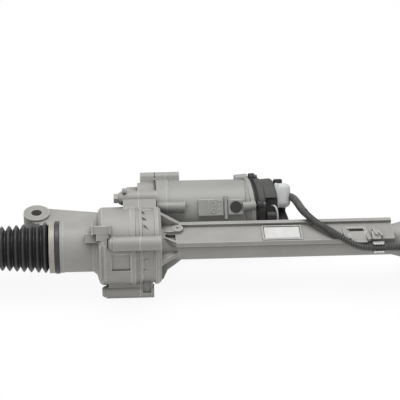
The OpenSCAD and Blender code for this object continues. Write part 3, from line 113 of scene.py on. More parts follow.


# rim is the strength of a painted highlight on convex edges, crease that of painted shade in inner
# corners, and reach how far ambient occlusion looks for them.
def toned_surface_with_painted_light(name, colour, metallic, roughness, cloud=30, shade=0.08, grain=1200,
                 depth=0.0001, stretch=(1, 1, 1), edge=0.0, rim=0.0, crease=0.0,
                 reach=0.008):
    """Finish with a cloudy tone and fine grain, and softened edges with a painted highlight on their
    rims and painted shade in inner corners.
    """
    material = bpy.data.materials.new(name)
    material.use_nodes = True
    nodes, links = material.node_tree.nodes, material.node_tree.links
    shader = nodes["Principled BSDF"]
    shader.inputs["Metallic"].default_value = metallic
    place = nodes.new("ShaderNodeTexCoord")
    clouds = nodes.new("ShaderNodeTexNoise")
    clouds.inputs["Scale"].default_value = cloud
    clouds.inputs["Detail"].default_value = 4
    links.new(place.outputs["Object"], clouds.inputs["Vector"])
    cloudy = ranged(nodes, links, clouds.outputs["Fac"], 0.3, 0.7)
    result = tinted(nodes, links, cloudy, [c * (1 - shade) for c in colour],
                    [c * (1 + shade) for c in colour])
    rough = ranged(nodes, links, cloudy, 0, 1, roughness - 0.05, roughness + 0.07)
    links.new(rough, shader.inputs["Roughness"])
    lay = nodes.new("ShaderNodeMapping")
    lay.inputs["Scale"].default_value = stretch
    links.new(place.outputs["Object"], lay.inputs["Vector"])
    specks = nodes.new("ShaderNodeTexNoise")
    specks.inputs["Scale"].default_value = grain
    specks.inputs["Detail"].default_value = 3
    links.new(lay.outputs["Vector"], specks.inputs["Vector"])
    bump = nodes.new("ShaderNodeBump")
    bump.inputs["Strength"].default_value = 0.35
    bump.inputs["Distance"].default_value = depth
    links.new(specks.outputs["Fac"], bump.inputs["Height"])
    links.new(bump.outputs["Normal"], shader.inputs["Normal"])
    if edge:
        soft = nodes.new("ShaderNodeBevel")
        soft.samples = 4
        soft.inputs["Radius"].default_value = edge
        links.new(soft.outputs["Normal"], bump.inputs["Normal"])
    # Painted highlight and painted shade: a pale colour on open convex edges, where the bevelled normal
    # leaves the face's normal, and a darker one in inner corners, where ambient occlusion closes.
    if edge and (rim or crease):
        sky = nodes.new("ShaderNodeAmbientOcclusion")
        sky.samples = 4
        sky.inputs["Distance"].default_value = reach
        facing = nodes.new("ShaderNodeNewGeometry")
        match = nodes.new("ShaderNodeVectorMath")
        match.operation = "DOT_PRODUCT"
        links.new(soft.outputs["Normal"], match.inputs[0])
        links.new(facing.outputs["True Normal"], match.inputs[1])
        # Share of the painted highlight on open convex edges
        painted_highlight_share = nodes.new("ShaderNodeMath")
        painted_highlight_share.operation = "MULTIPLY"
        links.new(ranged(nodes, links, match.outputs["Value"], 0.992, 0.92), painted_highlight_share.inputs[0])
        links.new(ranged(nodes, links, sky.outputs["AO"], 0.5, 0.75, 0, rim), painted_highlight_share.inputs[1])
        result = tinted(nodes, links, painted_highlight_share.outputs["Value"], result,
                        [min(c * 2.2 + 0.06, 0.92) for c in colour])
        # Share of the painted shade in inner corners
        painted_shade_share = ranged(nodes, links, sky.outputs["AO"], 0.85, 0.3, 0, crease)
        result = tinted(nodes, links, painted_shade_share, result, [c * 0.25 for c in colour])
    links.new(result, shader.inputs["Base Color"])
    return material


def dress(material, *names):
    """Give nodes of the frame their finish."""
    for name in names:
        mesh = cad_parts[name].data
        mesh.materials.clear()
        mesh.materials.append(material)


def gear_point(x, y, z):
    """A point given in millimetres about the rack's axis."""
    return Vector((x / 1000, y / 1000 + rack_y, z / 1000))


# Sine and cosine of the view's height
view_sine, view_cosine = 0.574, 0.819


def seen_point(x, up, near):
    """A point by its place along the rack, and its height and nearness in the main view."""
    return gear_point(x, view_sine * up - view_cosine * near, view_cosine * up + view_sine * near)


seen_turn = Matrix(((1, 0, 0), (0, view_sine, -view_cosine), (0, view_cosine, view_sine)))


def rounded_block(shape, centre, size, rounding, turn=Matrix.Identity(3), segments=2):
    """A block with rounded edges; sizes in millimetres."""
    scale = Matrix.Diagonal((*(length / 1000 for length in size), 1))
    place = Matrix.Translation(centre) @ turn.to_4x4() @ scale
    corners = bmesh.ops.create_cube(shape, size=1, matrix=place)["verts"]
    edges = list({edge for corner in corners for edge in corner.link_edges})
    bmesh.ops.bevel(shape, geom=edges, offset=rounding / 1000, segments=segments,
                    profile=0.5, affect="EDGES", clamp_overlap=True)


def turned_shape(shape, outline, place, sides=48, flat=None):
    """A closed shape turned about X from [place along X, radius]; flat cuts it at one side."""
    rings = []
    for x, radius in outline:
        count = 1 if radius == 0 else sides
        ring = []
        for k in range(count):
            angle = 2 * math.pi * k / sides
            y = radius * math.cos(angle)
            if flat is not None:
                y = max(y, flat)
            ring.append(shape.verts.new(place @ Vector((x, y, radius * math.sin(angle)))))
        rings.append(ring)
    closed = outline[0][1] != 0
    for a, b in zip(rings, rings[1:] + (rings[:1] if closed else [])):
        for k in range(sides):
            corners = [a[k % len(a)], a[(k + 1) % len(a)], b[(k + 1) % len(b)], b[k % len(b)]]
            corners = list(dict.fromkeys(corners))
            if len(corners) > 2:
                shape.faces.new(corners)


def add_piece(name, shape, material, body, replaced=(), smooth=False):
    """Turn a finished shape into a piece that rides on a body of the gear."""
    if isinstance(shape, bmesh.types.BMesh):
        bmesh.ops.recalc_face_normals(shape, faces=shape.faces)
        mesh = bpy.data.meshes.new(name)
        shape.to_mesh(mesh)
        shape.free()
    else:
        mesh = shape
        mesh.name = name
    mesh.materials.clear()
    mesh.materials.append(material)
    for face in mesh.polygons:
        face.use_smooth = smooth
    piece = bpy.data.objects.new(name, mesh)
    bpy.context.scene.collection.objects.link(piece)
    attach(piece, body)
    if replaced:
        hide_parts(*replaced)
    return piece


# rim and crease give the castings a painted highlight on their edges and painted shade in inner corners.
cast_aluminium = toned_surface_with_painted_light(
    "cast_aluminium", (0.31, 0.305, 0.288), 0.16, 0.58, cloud=28, shade=0.1, grain=1500,
    depth=0.00012, edge=0.0015, rim=1.0, crease=0.85, reach=0.012)
dress(cast_aluminium, "gear_housing", "rack_housing")

flange_r = 49
rib_turn = seen_turn @ Matrix.Rotation(math.radians(-48), 3, "Z")
mould_marks = bmesh.new()
for x, up in ((143.2, 43), (144, 35), (145, 25)):
    near = math.sqrt(flange_r ** 2 - up ** 2)
    rounded_block(mould_marks, seen_point(x, up, near + 0.2), (9, 1.5, 3.6), 0.5, rib_turn)
for x, up, nub_r in ((144.6, -18.5, 2.0), (142.6, -31.5, 1.8)):
    near = math.sqrt(flange_r ** 2 - up ** 2)
    bmesh.ops.create_uvsphere(mould_marks, u_segments=16, v_segments=8, radius=nub_r / 1000,
                              matrix=Matrix.Translation(seen_point(x, up, near)))
rounded_block(mould_marks, seen_point(117.8, 72.5, 8), (5.6, 7, 5.6), 2.2, seen_turn, 3)
add_piece("mould_marks", mould_marks, cast_aluminium, "root")

# Motor: a cast aluminium cup and front cover, finer and slightly lighter than the
# gearbox. The machined pad carries two plain cast rings, and a black seal shows in the
# joint with the gearbox.
# rim and crease give the motor a painted highlight on its edges and painted shade in its inner corners.
motor_aluminium = toned_surface_with_painted_light(
    "motor_aluminium", (0.29, 0.288, 0.275), 0.16, 0.55, cloud=22, shade=0.08, grain=1900,
    depth=0.00008, edge=0.0013, rim=0.9, crease=0.8, reach=0.01)
dress(motor_aluminium, "motor_housing", "motor_front_cover", "yoke")

motor_y = 75
motor_r = 43
pad_height = 1.5
pad_turn = Matrix.Rotation(math.radians(-41), 3, "X")


def pad_point(x, across):
    """A point on the face of the pads at the front of the motor."""
    return gear_point(0, motor_y, 0) + pad_turn @ Vector((x, -(motor_r + pad_height), across)) / 1000


pad_marks = bmesh.new()
pad_face = pad_turn.to_4x4() @ Matrix.Rotation(math.radians(-90), 4, "Z")
pad_ring = [(-0.0004, 0.0024), (0.0004, 0.0024), (0.0005, 0.0027), (0.0005, 0.0032),
            (0.0004, 0.0035), (-0.0004, 0.0035)]
pad_dot = [(-0.0004, 0), (-0.0004, 0.0008), (0.0003, 0.0008), (0.0004, 0)]
for across in (-4.6, 4.6):
    place = Matrix.Translation(pad_point(236, across)) @ pad_face
    turned_shape(pad_marks, pad_ring, place, 32)
    turned_shape(pad_marks, pad_dot, place, 16)
rounded_block(pad_marks, pad_point(229.5, 0), (0.8, 1.0, 20), 0.3, pad_turn)
for across in (-8.5, -2.8, 2.8, 8.5):
    rounded_block(pad_marks, pad_point(244, across), (3.2, 0.8, 1.2), 0.3, pad_turn)
add_piece("pad_marks", pad_marks, motor_aluminium, "root")

rubber_black = toned_surface_with_painted_light(
    "rubber_black", (0.022, 0.022, 0.021), 0, 0.55, cloud=45, shade=0.3, grain=900, depth=0.00006,
    edge=0.0006)
motor_lug_r = 47
# Angle of each screw lug round the motor, and the seat of its screw along X
motor_lugs = {50: 188, 137: 193, 227: 183, 317: 183}


def lug_point(x, angle):
    """A point on the axis of a screw lug of the motor."""
    turn = math.radians(angle)
    return gear_point(x, motor_y + motor_lug_r * math.cos(turn), motor_lug_r * math.sin(turn))


seal = bmesh.new()
turned_shape(seal, [(0.1588, 0.0428), (0.1588, 0.04355), (0.1604, 0.04355), (0.1604, 0.0428)],
             Matrix.Translation(gear_point(0, motor_y, 0)), 96)
for angle in motor_lugs:
    turned_shape(seal, [(0.1592, 0.0066), (0.1592, 0.00722), (0.1601, 0.00722), (0.1601, 0.0066)],
                 Matrix.Translation(lug_point(0, angle)), 32)
add_piece("motor_seal", seal, rubber_black, "root")

# Bolts and screws: zinc-plated steel. The housing bolts and lock nuts keep their solids.
# The motor's screws have socket heads and are set on their seats by a node tree, which
# also makes the smaller ones of the control unit.
# rim and crease give the bolts a painted highlight on their edges and painted shade in inner corners.
bolt_steel = toned_surface_with_painted_light(
    "bolt_steel", (0.32, 0.315, 0.3), 0.15, 0.55, cloud=180, shade=0.12, grain=2500, depth=0.00004,
    edge=0.0009, rim=0.6, crease=0.7)
dress(bolt_steel, "housing_bolts", "lock_nut_left", "lock_nut_right")


def new_tree(name, inputs):
    """Node tree for one kind of shape, with a named input for each of its sizes."""
    tree = bpy.data.node_groups.new(name, "GeometryNodeTree")
    tree.interface.new_socket("Start", in_out="INPUT", socket_type="NodeSocketGeometry")
    for title, kind in inputs:
        tree.interface.new_socket(title, in_out="INPUT", socket_type="NodeSocket" + kind)
    tree.interface.new_socket("Surface", in_out="INPUT", socket_type="NodeSocketMaterial")
    tree.interface.new_socket("Shape", in_out="OUTPUT", socket_type="NodeSocketGeometry")
    given = tree.nodes.new("NodeGroupInput")
    return tree, given.outputs


def step(tree, kind, values=(), **choices):
    """One node of a tree; values are (input, number or output of another node)."""
    node = tree.nodes.new(kind)
    for choice, value in choices.items():
        setattr(node, choice, value)
    for socket, value in values:
        if isinstance(value, bpy.types.NodeSocket):
            tree.links.new(value, node.inputs[socket])
        else:
            node.inputs[socket].default_value = value
    return node.outputs


def end_tree(tree, given, shape):
    """Close a tree with real geometry and its material."""
    real = step(tree, "GeometryNodeRealizeInstances", [("Geometry", shape)])
    done = step(tree, "GeometryNodeSetMaterial", [("Geometry", real[0]), ("Material", given["Surface"])])
    step(tree, "NodeGroupOutput", [("Shape", done[0])])
    return tree


def grow(name, points, tree, values, edges=(), attributes=None):
    """Run a tree on points and return its result as a plain mesh."""
    start = bpy.data.meshes.new(name)
    start.from_pydata(points, edges, [])
    for title, numbers in (attributes or {}).items():
        start.attributes.new(title, "FLOAT", "POINT").data.foreach_set("value", numbers)
    carrier = bpy.data.objects.new(name, start)
    bpy.context.scene.collection.objects.link(carrier)
    modifier = carrier.modifiers.new("shape", "NODES")
    modifier.node_group = tree
    for item in tree.interface.items_tree:
        if item.in_out == "INPUT" and item.name in values:
            modifier[item.identifier] = values[item.name]
    graph = bpy.context.evaluated_depsgraph_get()
    mesh = bpy.data.meshes.new_from_object(carrier.evaluated_get(graph), depsgraph=graph)
    bpy.data.objects.remove(carrier)
    return mesh


tree, given = new_tree("socket_screws", [
    ("Head radius", "Float"), ("Head height", "Float"), ("Socket radius", "Float"),
    ("Shank radius", "Float"), ("Shank length", "Float"), ("Turn", "Vector")])
half = step(tree, "ShaderNodeMath", [(0, given["Head height"]), (1, 0.5)], operation="MULTIPLY")
up = step(tree, "ShaderNodeCombineXYZ", [("Z", half[0])])
head = step(tree, "GeometryNodeMeshCylinder", [
    ("Vertices", 32), ("Radius", given["Head radius"]), ("Depth", given["Head height"])])
head = step(tree, "GeometryNodeTransform", [("Geometry", head[0]), ("Translation", up[0])])
top = step(tree, "ShaderNodeCombineXYZ", [("Z", given["Head height"])])
socket = step(tree, "GeometryNodeMeshCylinder", [
    ("Vertices", 6), ("Radius", given["Socket radius"]), ("Depth", given["Head height"])])
socket = step(tree, "GeometryNodeTransform", [("Geometry", socket[0]), ("Translation", top[0])])
cut = step(tree, "GeometryNodeMeshBoolean", [("Mesh 1", head[0]), ("Mesh 2", socket[0])], solver="EXACT")
shank = step(tree, "GeometryNodeMeshCylinder", [
    ("Vertices", 24), ("Radius", given["Shank radius"]), ("Depth", given["Shank length"])])
down = step(tree, "ShaderNodeMath", [(0, given["Shank length"]), (1, -0.498)], operation="MULTIPLY")
down = step(tree, "ShaderNodeCombineXYZ", [("Z", down[0])])
shank = step(tree, "GeometryNodeTransform", [("Geometry", shank[0]), ("Translation", down[0])])
whole = tree.nodes.new("GeometryNodeJoinGeometry")
for part in (shank[0], cut[0]):
    tree.links.new(part, whole.inputs[0])
placed = step(tree, "GeometryNodeInstanceOnPoints", [
    ("Points", given["Start"]), ("Instance", whole.outputs[0]), ("Rotation", given["Turn"])])
screw_tree = end_tree(tree, given, placed[0])

screw_seats = [lug_point(seat, angle) for angle, seat in motor_lugs.items()]
motor_screws = grow("motor_screws", screw_seats, screw_tree, {
    "Head radius": 0.0047, "Head height": 0.005, "Socket radius": 0.0029,
    "Shank radius": 0.003, "Shank length": 0.028, "Turn": (0, math.radians(90), 0),
    "Surface": bolt_steel})
add_piece("motor_screws", motor_screws, bolt_steel, "root", ["motor_bolts"])

# Control unit: a satin dark cover over the end of the motor, stepped and cut away at the
# front for its connectors, with a black gasket and a rim whose edge is toothed all round.
# Four small black screws in its lugs hold it on the motor.
# rim and crease give the cover a faint painted highlight on its edges and painted shade in inner
# corners.
cover_grey = toned_surface_with_painted_light(
    "cover_grey", (0.045, 0.045, 0.042), 0, 0.62, cloud=35, shade=0.1, grain=1600, depth=0.00005,
    edge=0.0009, rim=0.25, crease=0.6)
# rim and crease give the black plastic a faint painted highlight on its edges and painted shade in inner
# corners.
plastic_black = toned_surface_with_painted_light(
    "plastic_black", (0.008, 0.008, 0.008), 0, 0.6, cloud=60, shade=0.2, grain=1400, depth=0.00006,
    edge=0.0008, rim=0.08, crease=0.5)
dress(plastic_black, "ecu_connector", "vent_plug")
unit_slant = math.radians(7)
unit_frame = Matrix.Translation(gear_point(288, motor_y, 0)) @ Matrix.Rotation(unit_slant, 4, "Z")
unit_angles = [math.radians(a) for a in (55, 137, 235, 317)]
unit_screw_ring = 0.0435
cover_l = 0.0328
cover_flat_y = -0.036


def unit_place(x, angle, radius):
    """Frame of a lug of the control unit, at a place along its axis."""
    return unit_frame @ Matrix.Translation((x, radius * math.cos(angle), radius * math.sin(angle)))


def cut_out(shape, blocks):
    """Take blocks out of a finished shape and return the mesh that is left."""
    pair = []
    for title, source in (("kept", shape), ("cut", blocks)):
        bmesh.ops.recalc_face_normals(source, faces=source.faces)
        mesh = bpy.data.meshes.new(title)
        source.to_mesh(mesh)
        source.free()
        pair.append(bpy.data.objects.new(title, mesh))
        bpy.context.scene.collection.objects.link(pair[-1])
    modifier = pair[0].modifiers.new("cut", "BOOLEAN")
    modifier.object = pair[1]
    modifier.solver = "EXACT"
    modifier.use_self = True
    graph = bpy.context.evaluated_depsgraph_get()
    mesh = bpy.data.meshes.new_from_object(pair[0].evaluated_get(graph), depsgraph=graph)
    for piece in pair:
        bpy.data.objects.remove(piece)
    return mesh


cover = bmesh.new()
turned_shape(cover, [
    (0.0025, 0.0345), (0.0025, 0.0422), (0.0140, 0.0424), (0.0154, 0.0418), (0.0162, 0.0408),
    (0.0166, 0.0405), (cover_l - 0.0030, 0.0405), (cover_l - 0.001, 0.0396), (cover_l, 0.0376),
    (cover_l, 0), (cover_l - 0.0025, 0), (cover_l - 0.0025, 0.0345)],
    unit_frame, 96, cover_flat_y)
blocks = bmesh.new()
for angle in unit_angles:
    turned_shape(blocks, [(0.0095, 0), (0.0095, 0.0049), (0.03, 0.0049), (0.03, 0)],
                 unit_place(0, angle, unit_screw_ring + 0.0012), 32)
rounded_block(blocks, seen_point(318, 43, -24), (24, 31.5, 28), 1.0, seen_turn)
add_piece("unit_cover", cut_out(cover, blocks), cover_grey, "root", ["ecu_cover"])

rim = bmesh.new()
turned_shape(rim, [
    (0.0026, 0.0385), (0.0026, 0.0428), (0.0032, 0.0432), (0.006, 0.0432), (0.0068, 0.0426),
    (0.0068, 0.0385)], unit_frame, 96)
for angle in unit_angles:
    turned_shape(rim, [(0.0026, 0), (0.0026, 0.006), (0.0098, 0.006), (0.0105, 0.0053), (0.0105, 0)],
                 unit_place(0, angle, unit_screw_ring), 32)
rounded_block(rim, seen_point(315.2, 43, -42), (18, 31, 14), 1.0, seen_turn)
for k in range(3):
    rounded_block(rim, seen_point(305.2, 32 + 7 * k, -31.5), (2.4, 5, 5), 0.6, seen_turn)
add_piece("unit_rim", rim, plastic_black, "root")

sleeve = bmesh.new()
turned_shape(sleeve, [
    (0, 0), (0, 0.0042), (0.0006, 0.0048), (0.0118, 0.0048), (0.0124, 0.0042), (0.0124, 0)],
    Matrix.Translation(seen_point(308.6, 35.4, -31)), 32)
add_piece("unit_sleeve", sleeve, cover_grey, "root")

gasket = bmesh.new()
turned_shape(gasket, [
    (0.0001, 0.036), (0.0001, 0.0428), (0.0004, 0.0432), (0.0022, 0.0432), (0.0025, 0.0428),
    (0.0025, 0.036)], unit_frame, 96)
add_piece("unit_gasket", gasket, rubber_black, "root", ["ecu_gasket"])

tree, given = new_tree("toothed_edge", [
    ("Teeth", "Int"), ("Ring radius", "Float"), ("Tooth length", "Float"), ("Tooth width", "Float"),
    ("Tooth height", "Float")])
ring = step(tree, "GeometryNodeMeshCircle", [
    ("Vertices", given["Teeth"]), ("Radius", given["Ring radius"])])
size = step(tree, "ShaderNodeCombineXYZ", [
    ("X", given["Tooth height"]), ("Y", given["Tooth width"]), ("Z", given["Tooth length"])])
tooth = step(tree, "GeometryNodeMeshCube", [("Size", size[0])])
place = step(tree, "GeometryNodeInputPosition")
aim = step(tree, "FunctionNodeAlignRotationToVector", [("Vector", place[0])], axis="X", pivot_axis="Z")
teeth = step(tree, "GeometryNodeInstanceOnPoints", [
    ("Points", ring[0]), ("Instance", tooth[0]), ("Rotation", aim[0])])
end_tree(tree, given, teeth[0])
teeth = grow("unit_teeth", [(0, 0, 0)], tree, {
    "Teeth": 124, "Ring radius": 0.0431, "Tooth length": 0.003, "Tooth width": 0.0011,
    "Tooth height": 0.0016, "Surface": plastic_black})
teeth_x = 0.0043
upright = Matrix.Rotation(math.radians(90), 4, "Y")
teeth.transform(unit_frame @ Matrix.Translation((teeth_x, 0, 0)) @ upright)
add_piece("unit_teeth", teeth, plastic_black, "root")

# rim and crease give the screws a painted highlight on their edges and painted shade in inner corners.
screw_black = toned_surface_with_painted_light(
    "screw_black", (0.09, 0.09, 0.088), 0.4, 0.45, cloud=180, shade=0.12, grain=2500, depth=0.00004,
    edge=0.0006, rim=0.3, crease=0.6)
lug_top = 0.0105
unit_seats = [unit_place(lug_top, angle, unit_screw_ring).translation for angle in unit_angles]
unit_screws = grow("unit_screws", unit_seats, screw_tree, {
    "Head radius": 0.0036, "Head height": 0.0035, "Socket radius": 0.0019,
    "Shank radius": 0.0022, "Shank length": 0.02, "Turn": (0, math.radians(90), unit_slant),
    "Surface": screw_black})
add_piece("unit_screws", unit_screws, screw_black, "root", ["ecu_screws"])

circuit_green = toned_surface_with_painted_light(
    "circuit_green", (0.01, 0.09, 0.03), 0, 0.4, cloud=300, shade=0.5, grain=2000)
dress(circuit_green, "ecu_board")

# Signal plug: a rounded white moulded cap over the end of the control unit, with a black
# sliding lock on its top and a thin white strap looped in front.
# rim and crease give the cap a painted highlight on its edges and painted shade in inner corners.
cap_white = toned_surface_with_painted_light(
    "cap_white", (0.58, 0.585, 0.592), 0, 0.55, cloud=50, shade=0.05, grain=1200, depth=0.00003,
    edge=0.0012, rim=0.3, crease=0.5)
cap = bmesh.new()
rounded_block(cap, seen_point(330.4, 61.6, -50), (23.5, 33, 28), 7.5, seen_turn, 6)
rounded_block(cap, seen_point(323, 61.6, -50), (5.5, 34, 29), 2.5, seen_turn, 3)
add_piece("plug_cap", cap, cap_white, "root", ["connector_cap"], smooth=True)

lock = bmesh.new()
rounded_block(lock, seen_point(326, 79.5, -52), (11.5, 8.5, 15), 1.8, seen_turn, 3)
for k in range(3):
    rounded_block(lock, seen_point(323 + 3 * k, 83.6, -52), (1.1, 1.2, 11), 0.4, seen_turn)
add_piece("plug_lock", lock, plastic_black, "root")


def smooth_path(points, steps):
    """More points on a smooth curve through the given ones."""
    path = []
    for i in range(len(points) - 1):
        a, b, c = points[max(i - 1, 0)], points[i], points[i + 1]
        d = points[min(i + 2, len(points) - 1)]
        for k in range(steps):
            t = k / steps
            path.append(0.5 * (2 * b + (c - a) * t + (2 * a - 5 * b + 4 * c - d) * t * t
                               + (3 * b - a - 3 * c + d) * t ** 3))
    return path + [points[-1]]


tree, given = new_tree("ribbed_tube", [
    ("Steps", "Int"), ("Sides", "Int"), ("Pitch", "Float"), ("Fold depth", "Float"),
    ("Roundness", "Float")])
line = step(tree, "GeometryNodeMeshToCurve", [("Mesh", given["Start"])])
line = step(tree, "GeometryNodeResampleCurve", [("Curve", line[0]), ("Count", given["Steps"])])
run = step(tree, "GeometryNodeSplineParameter")
turns = step(tree, "ShaderNodeMath", [(0, run["Length"]), (1, given["Pitch"])], operation="DIVIDE")
# A point between two folds counts as the start of the next one, also when rounded down
turns = step(tree, "ShaderNodeMath", [(0, turns[0]), (1, 0.0001)])
part = step(tree, "ShaderNodeMath", [(0, turns[0])], operation="FRACT")
swing = step(tree, "ShaderNodeMath", [(0, part[0]), (1, 2.0), (2, -1.0)], operation="MULTIPLY_ADD")
swing = step(tree, "ShaderNodeMath", [(0, swing[0])], operation="ABSOLUTE")
dip = step(tree, "ShaderNodeMath", [(0, swing[0]), (1, given["Roundness"])], operation="POWER")
dip = step(tree, "ShaderNodeMath", [(0, dip[0]), (1, given["Fold depth"])], operation="MULTIPLY")
crest = step(tree, "GeometryNodeInputNamedAttribute", [("Name", "crest")], data_type="FLOAT")
radius = step(tree, "ShaderNodeMath", [(0, crest[0]), (1, dip[0])], operation="SUBTRACT")
round_line = step(tree, "GeometryNodeCurvePrimitiveCircle", [
    ("Resolution", given["Sides"]), ("Radius", 1.0)])
tube = step(tree, "GeometryNodeCurveToMesh", [
    ("Curve", line[0]), ("Profile Curve", round_line[0]), ("Scale", radius[0]), ("Fill Caps", False)])
ribbed_tube = end_tree(tree, given, tube[0])


def ribbed_shape(name, path, crest, values, material, wall=0.0):
    """A ribbed tube along a path; a wall gives it an inside, otherwise its ends are closed."""
    mesh = grow(name, path, ribbed_tube, {**values, "Surface": material},
                [(i, i + 1) for i in range(len(path) - 1)], {"crest": crest})
    shape = bmesh.new()
    shape.from_mesh(mesh)
    bmesh.ops.remove_doubles(shape, verts=shape.verts, dist=0.000001)
    if wall:
        bmesh.ops.recalc_face_normals(shape, faces=shape.faces)
        start, end = path[0], path[-1]
        axis = (end - start).normalized()
        inner = {}
        for vert in list(shape.verts):
            along = (vert.co - start).dot(axis)
            centre = start + axis * along
            inner[vert] = shape.verts.new(vert.co + (centre - vert.co).normalized() * wall)
        for face in list(shape.faces):
            shape.faces.new([inner[v] for v in reversed(face.verts)])
        for edge in [e for e in shape.edges if len(e.link_faces) == 1 and e.verts[0] in inner]:
            a, b = edge.verts
            shape.faces.new([a, b, inner[b], inner[a]])
    else:
        bmesh.ops.holes_fill(shape, edges=[e for e in shape.edges if len(e.link_faces) == 1])
    return shape


strap = [seen_point(*p) for p in (
    (314.5, 47, -38), (317, 48.3, -33), (319.6, 47.2, -29), (321.6, 43, -27), (322.6, 36, -27),
    (322.8, 28, -30), (323, 22, -36))]
strap = smooth_path(strap, 5)
strap_r = 0.0013
smooth_wall = {"Pitch": 1.0, "Fold depth": 0.0, "Roundness": 1.0}
add_piece("plug_strap", ribbed_shape("plug_strap", strap, [strap_r] * len(strap), {
    "Steps": 40, "Sides": 10, **smooth_wall}, cap_white),
    cap_white, "root", smooth=True)

# Conduit of the signal cable: corrugated black plastic tube with a smooth sleeve where it
# leaves the plug. It runs down over the shelf, through the clip and up to the sensor's plug.
# rim and crease give the conduit a painted highlight on its ridges and painted shade in the valleys
# between them.
conduit_black = toned_surface_with_painted_light(
    "conduit_black", (0.05, 0.05, 0.046), 0, 0.5, cloud=70, shade=0.25, grain=1800, depth=0.00004,
    edge=0.0003, rim=0.5, crease=1.0, reach=0.003)
sleeve_grey = toned_surface_with_painted_light(
    "sleeve_grey", (0.06, 0.061, 0.056), 0, 0.5, cloud=90, shade=0.2, grain=700, depth=0.00008,
    stretch=(1, 0.2, 1))
conduit_points = [gear_point(*p) for p in (
    (335, 77.5, 20.5), (338.5, 76, 21), (341.5, 72, 22.5), (344.5, 65, 25.5), (347, 55, 28.5),
    (349.5, 43, 30.5), (353, 29, 31.5), (359.5, 14, 31.5), (369.5, 1, 29.5), (382.5, -12, 27.8),
    (396, -24, 25.5), (410, -31, 19.5), (425, -34, 14), (442, -34, 12), (460, -34, 12), (478, -34, 12),
    (491, -36, 14.5), (501, -38.5, 19.5), (507, -40, 25), (508.5, -40.5, 31), (508.5, -40.5, 35))]
conduit_path = smooth_path(conduit_points, 10)
conduit_l = sum((b - a).length for a, b in zip(conduit_path, conduit_path[1:]))
conduit_r = 0.0049
ridge_pitch = 0.0034
steps_per_ridge = 6
add_piece("cable_conduit", ribbed_shape("cable_conduit", conduit_path, [conduit_r] * len(conduit_path), {
    "Steps": int(conduit_l / ridge_pitch * steps_per_ridge), "Sides": 18, "Pitch": ridge_pitch,
    "Fold depth": 0.0021, "Roundness": 1.7}, conduit_black),
    conduit_black, "root", ["harness_conduit"], smooth=True)
sleeve_r = 0.00515
sleeve_wall = 0.0002
sleeve_path = conduit_path[:66]
add_piece("cable_sleeve", ribbed_shape("cable_sleeve", sleeve_path, [sleeve_r] * len(sleeve_path), {
    "Steps": 60, "Sides": 24, **smooth_wall}, sleeve_grey, sleeve_wall),
    sleeve_grey, "root", smooth=True)

# Clip of the conduit: a white plastic snap, whose ribbed band goes round the tube, on a
# slotted bracket that is cast on the shelf.
shelf_top = 20.5
clip = bmesh.new()
clip_x, clip_y, clip_z = 447.5, -34, 12
clip_up = view_sine * clip_y + view_cosine * clip_z
clip_near = view_sine * clip_z - view_cosine * clip_y
band_r = 6.1
band_steps = 12
for k in range(band_steps + 1):
    angle = math.radians(62 + 236 * k / band_steps)
    place = seen_point(clip_x, clip_up + band_r * math.sin(angle), clip_near + band_r * math.cos(angle))
    rounded_block(clip, place, (14, 1.7, 2.6), 0.3,
                  seen_turn @ Matrix.Rotation(math.pi / 2 - angle, 3, "X"))
for k in range(5):
    place = seen_point(clip_x - 6.4 + 3.2 * k, clip_up + 6.8, clip_near + 2.4)
    rounded_block(clip, place, (1.4, 3.2, 2.2), 0.5,
                  seen_turn @ Matrix.Rotation(math.radians(-24), 3, "Z"))
rounded_block(clip, gear_point(clip_x, -27, 13.5), (14, 5, 6), 0.8)
add_piece("conduit_clip_band", clip, cap_white, "root", ["conduit_clip"])

bracket = bmesh.new()
lean = Matrix.Rotation(math.radians(20), 3, "X")
for x, y, z, size, turn in (
        (408, -13, 0.5, (9, 25, 3), Matrix.Identity(3)),
        (420, -5, 2.2, (24, 4, 4.4), Matrix.Identity(3)),
        (422, -21, -0.6, (24, 18, 3.4), lean),
        (434, -17, 1.2, (4.6, 25, 5), Matrix.Rotation(math.radians(10), 3, "Z")),
        (446, -20, 1.4, (12, 13, 3.4), lean),
        (444.5, -16, 3.4, (3.4, 15, 6), Matrix.Rotation(math.radians(16), 3, "Z")),
        (450, -17.5, 2.8, (3, 14, 4.6), Matrix.Rotation(math.radians(30), 3, "Z"))):
    rounded_block(bracket, gear_point(x, y, shelf_top + z), size, 0.9, turn)
add_piece("clip_bracket", bracket, cast_aluminium, "root")
# A black sheet in the bracket's slot is painted shade: it stands for the shade inside the slot.
slot_shade_sheet = bmesh.new()
rounded_block(slot_shade_sheet, gear_point(420.5, -9.2, shelf_top + 1.2), (19, 5.2, 1.8), 0.4)
add_piece("bracket_slot_shade", slot_shade_sheet, plastic_black, "root")

# Identification plate: a plain sheet of light metal foil, glued on the shelf inside a low
# frame that is cast with it.
label_foil = toned_surface_with_painted_light(
    "label_foil", (0.6, 0.6, 0.59), 0.1, 0.5, cloud=90, shade=0.06, grain=500, depth=0.00003,
    stretch=(0.05, 1, 1), edge=0.0004)
label = bmesh.new()
rounded_block(label, gear_point(323, -7.5, shelf_top + 0.4), (46, 24, 0.8), 0.25)
add_piece("label_sheet", label, label_foil, "root", ["label_plate"])
label_rim = bmesh.new()
for x, y, size in ((323, 6.8, (53, 2.2, 2)), (323, -22, (53, 2.2, 2)), (297.6, -7.5, (2.2, 31, 2)),
                   (348.4, -7.5, (2.2, 31, 2))):
    rounded_block(label_rim, gear_point(x, y, shelf_top + 0.6), size, 0.7)
add_piece("label_rim", label_rim, cast_aluminium, "root")

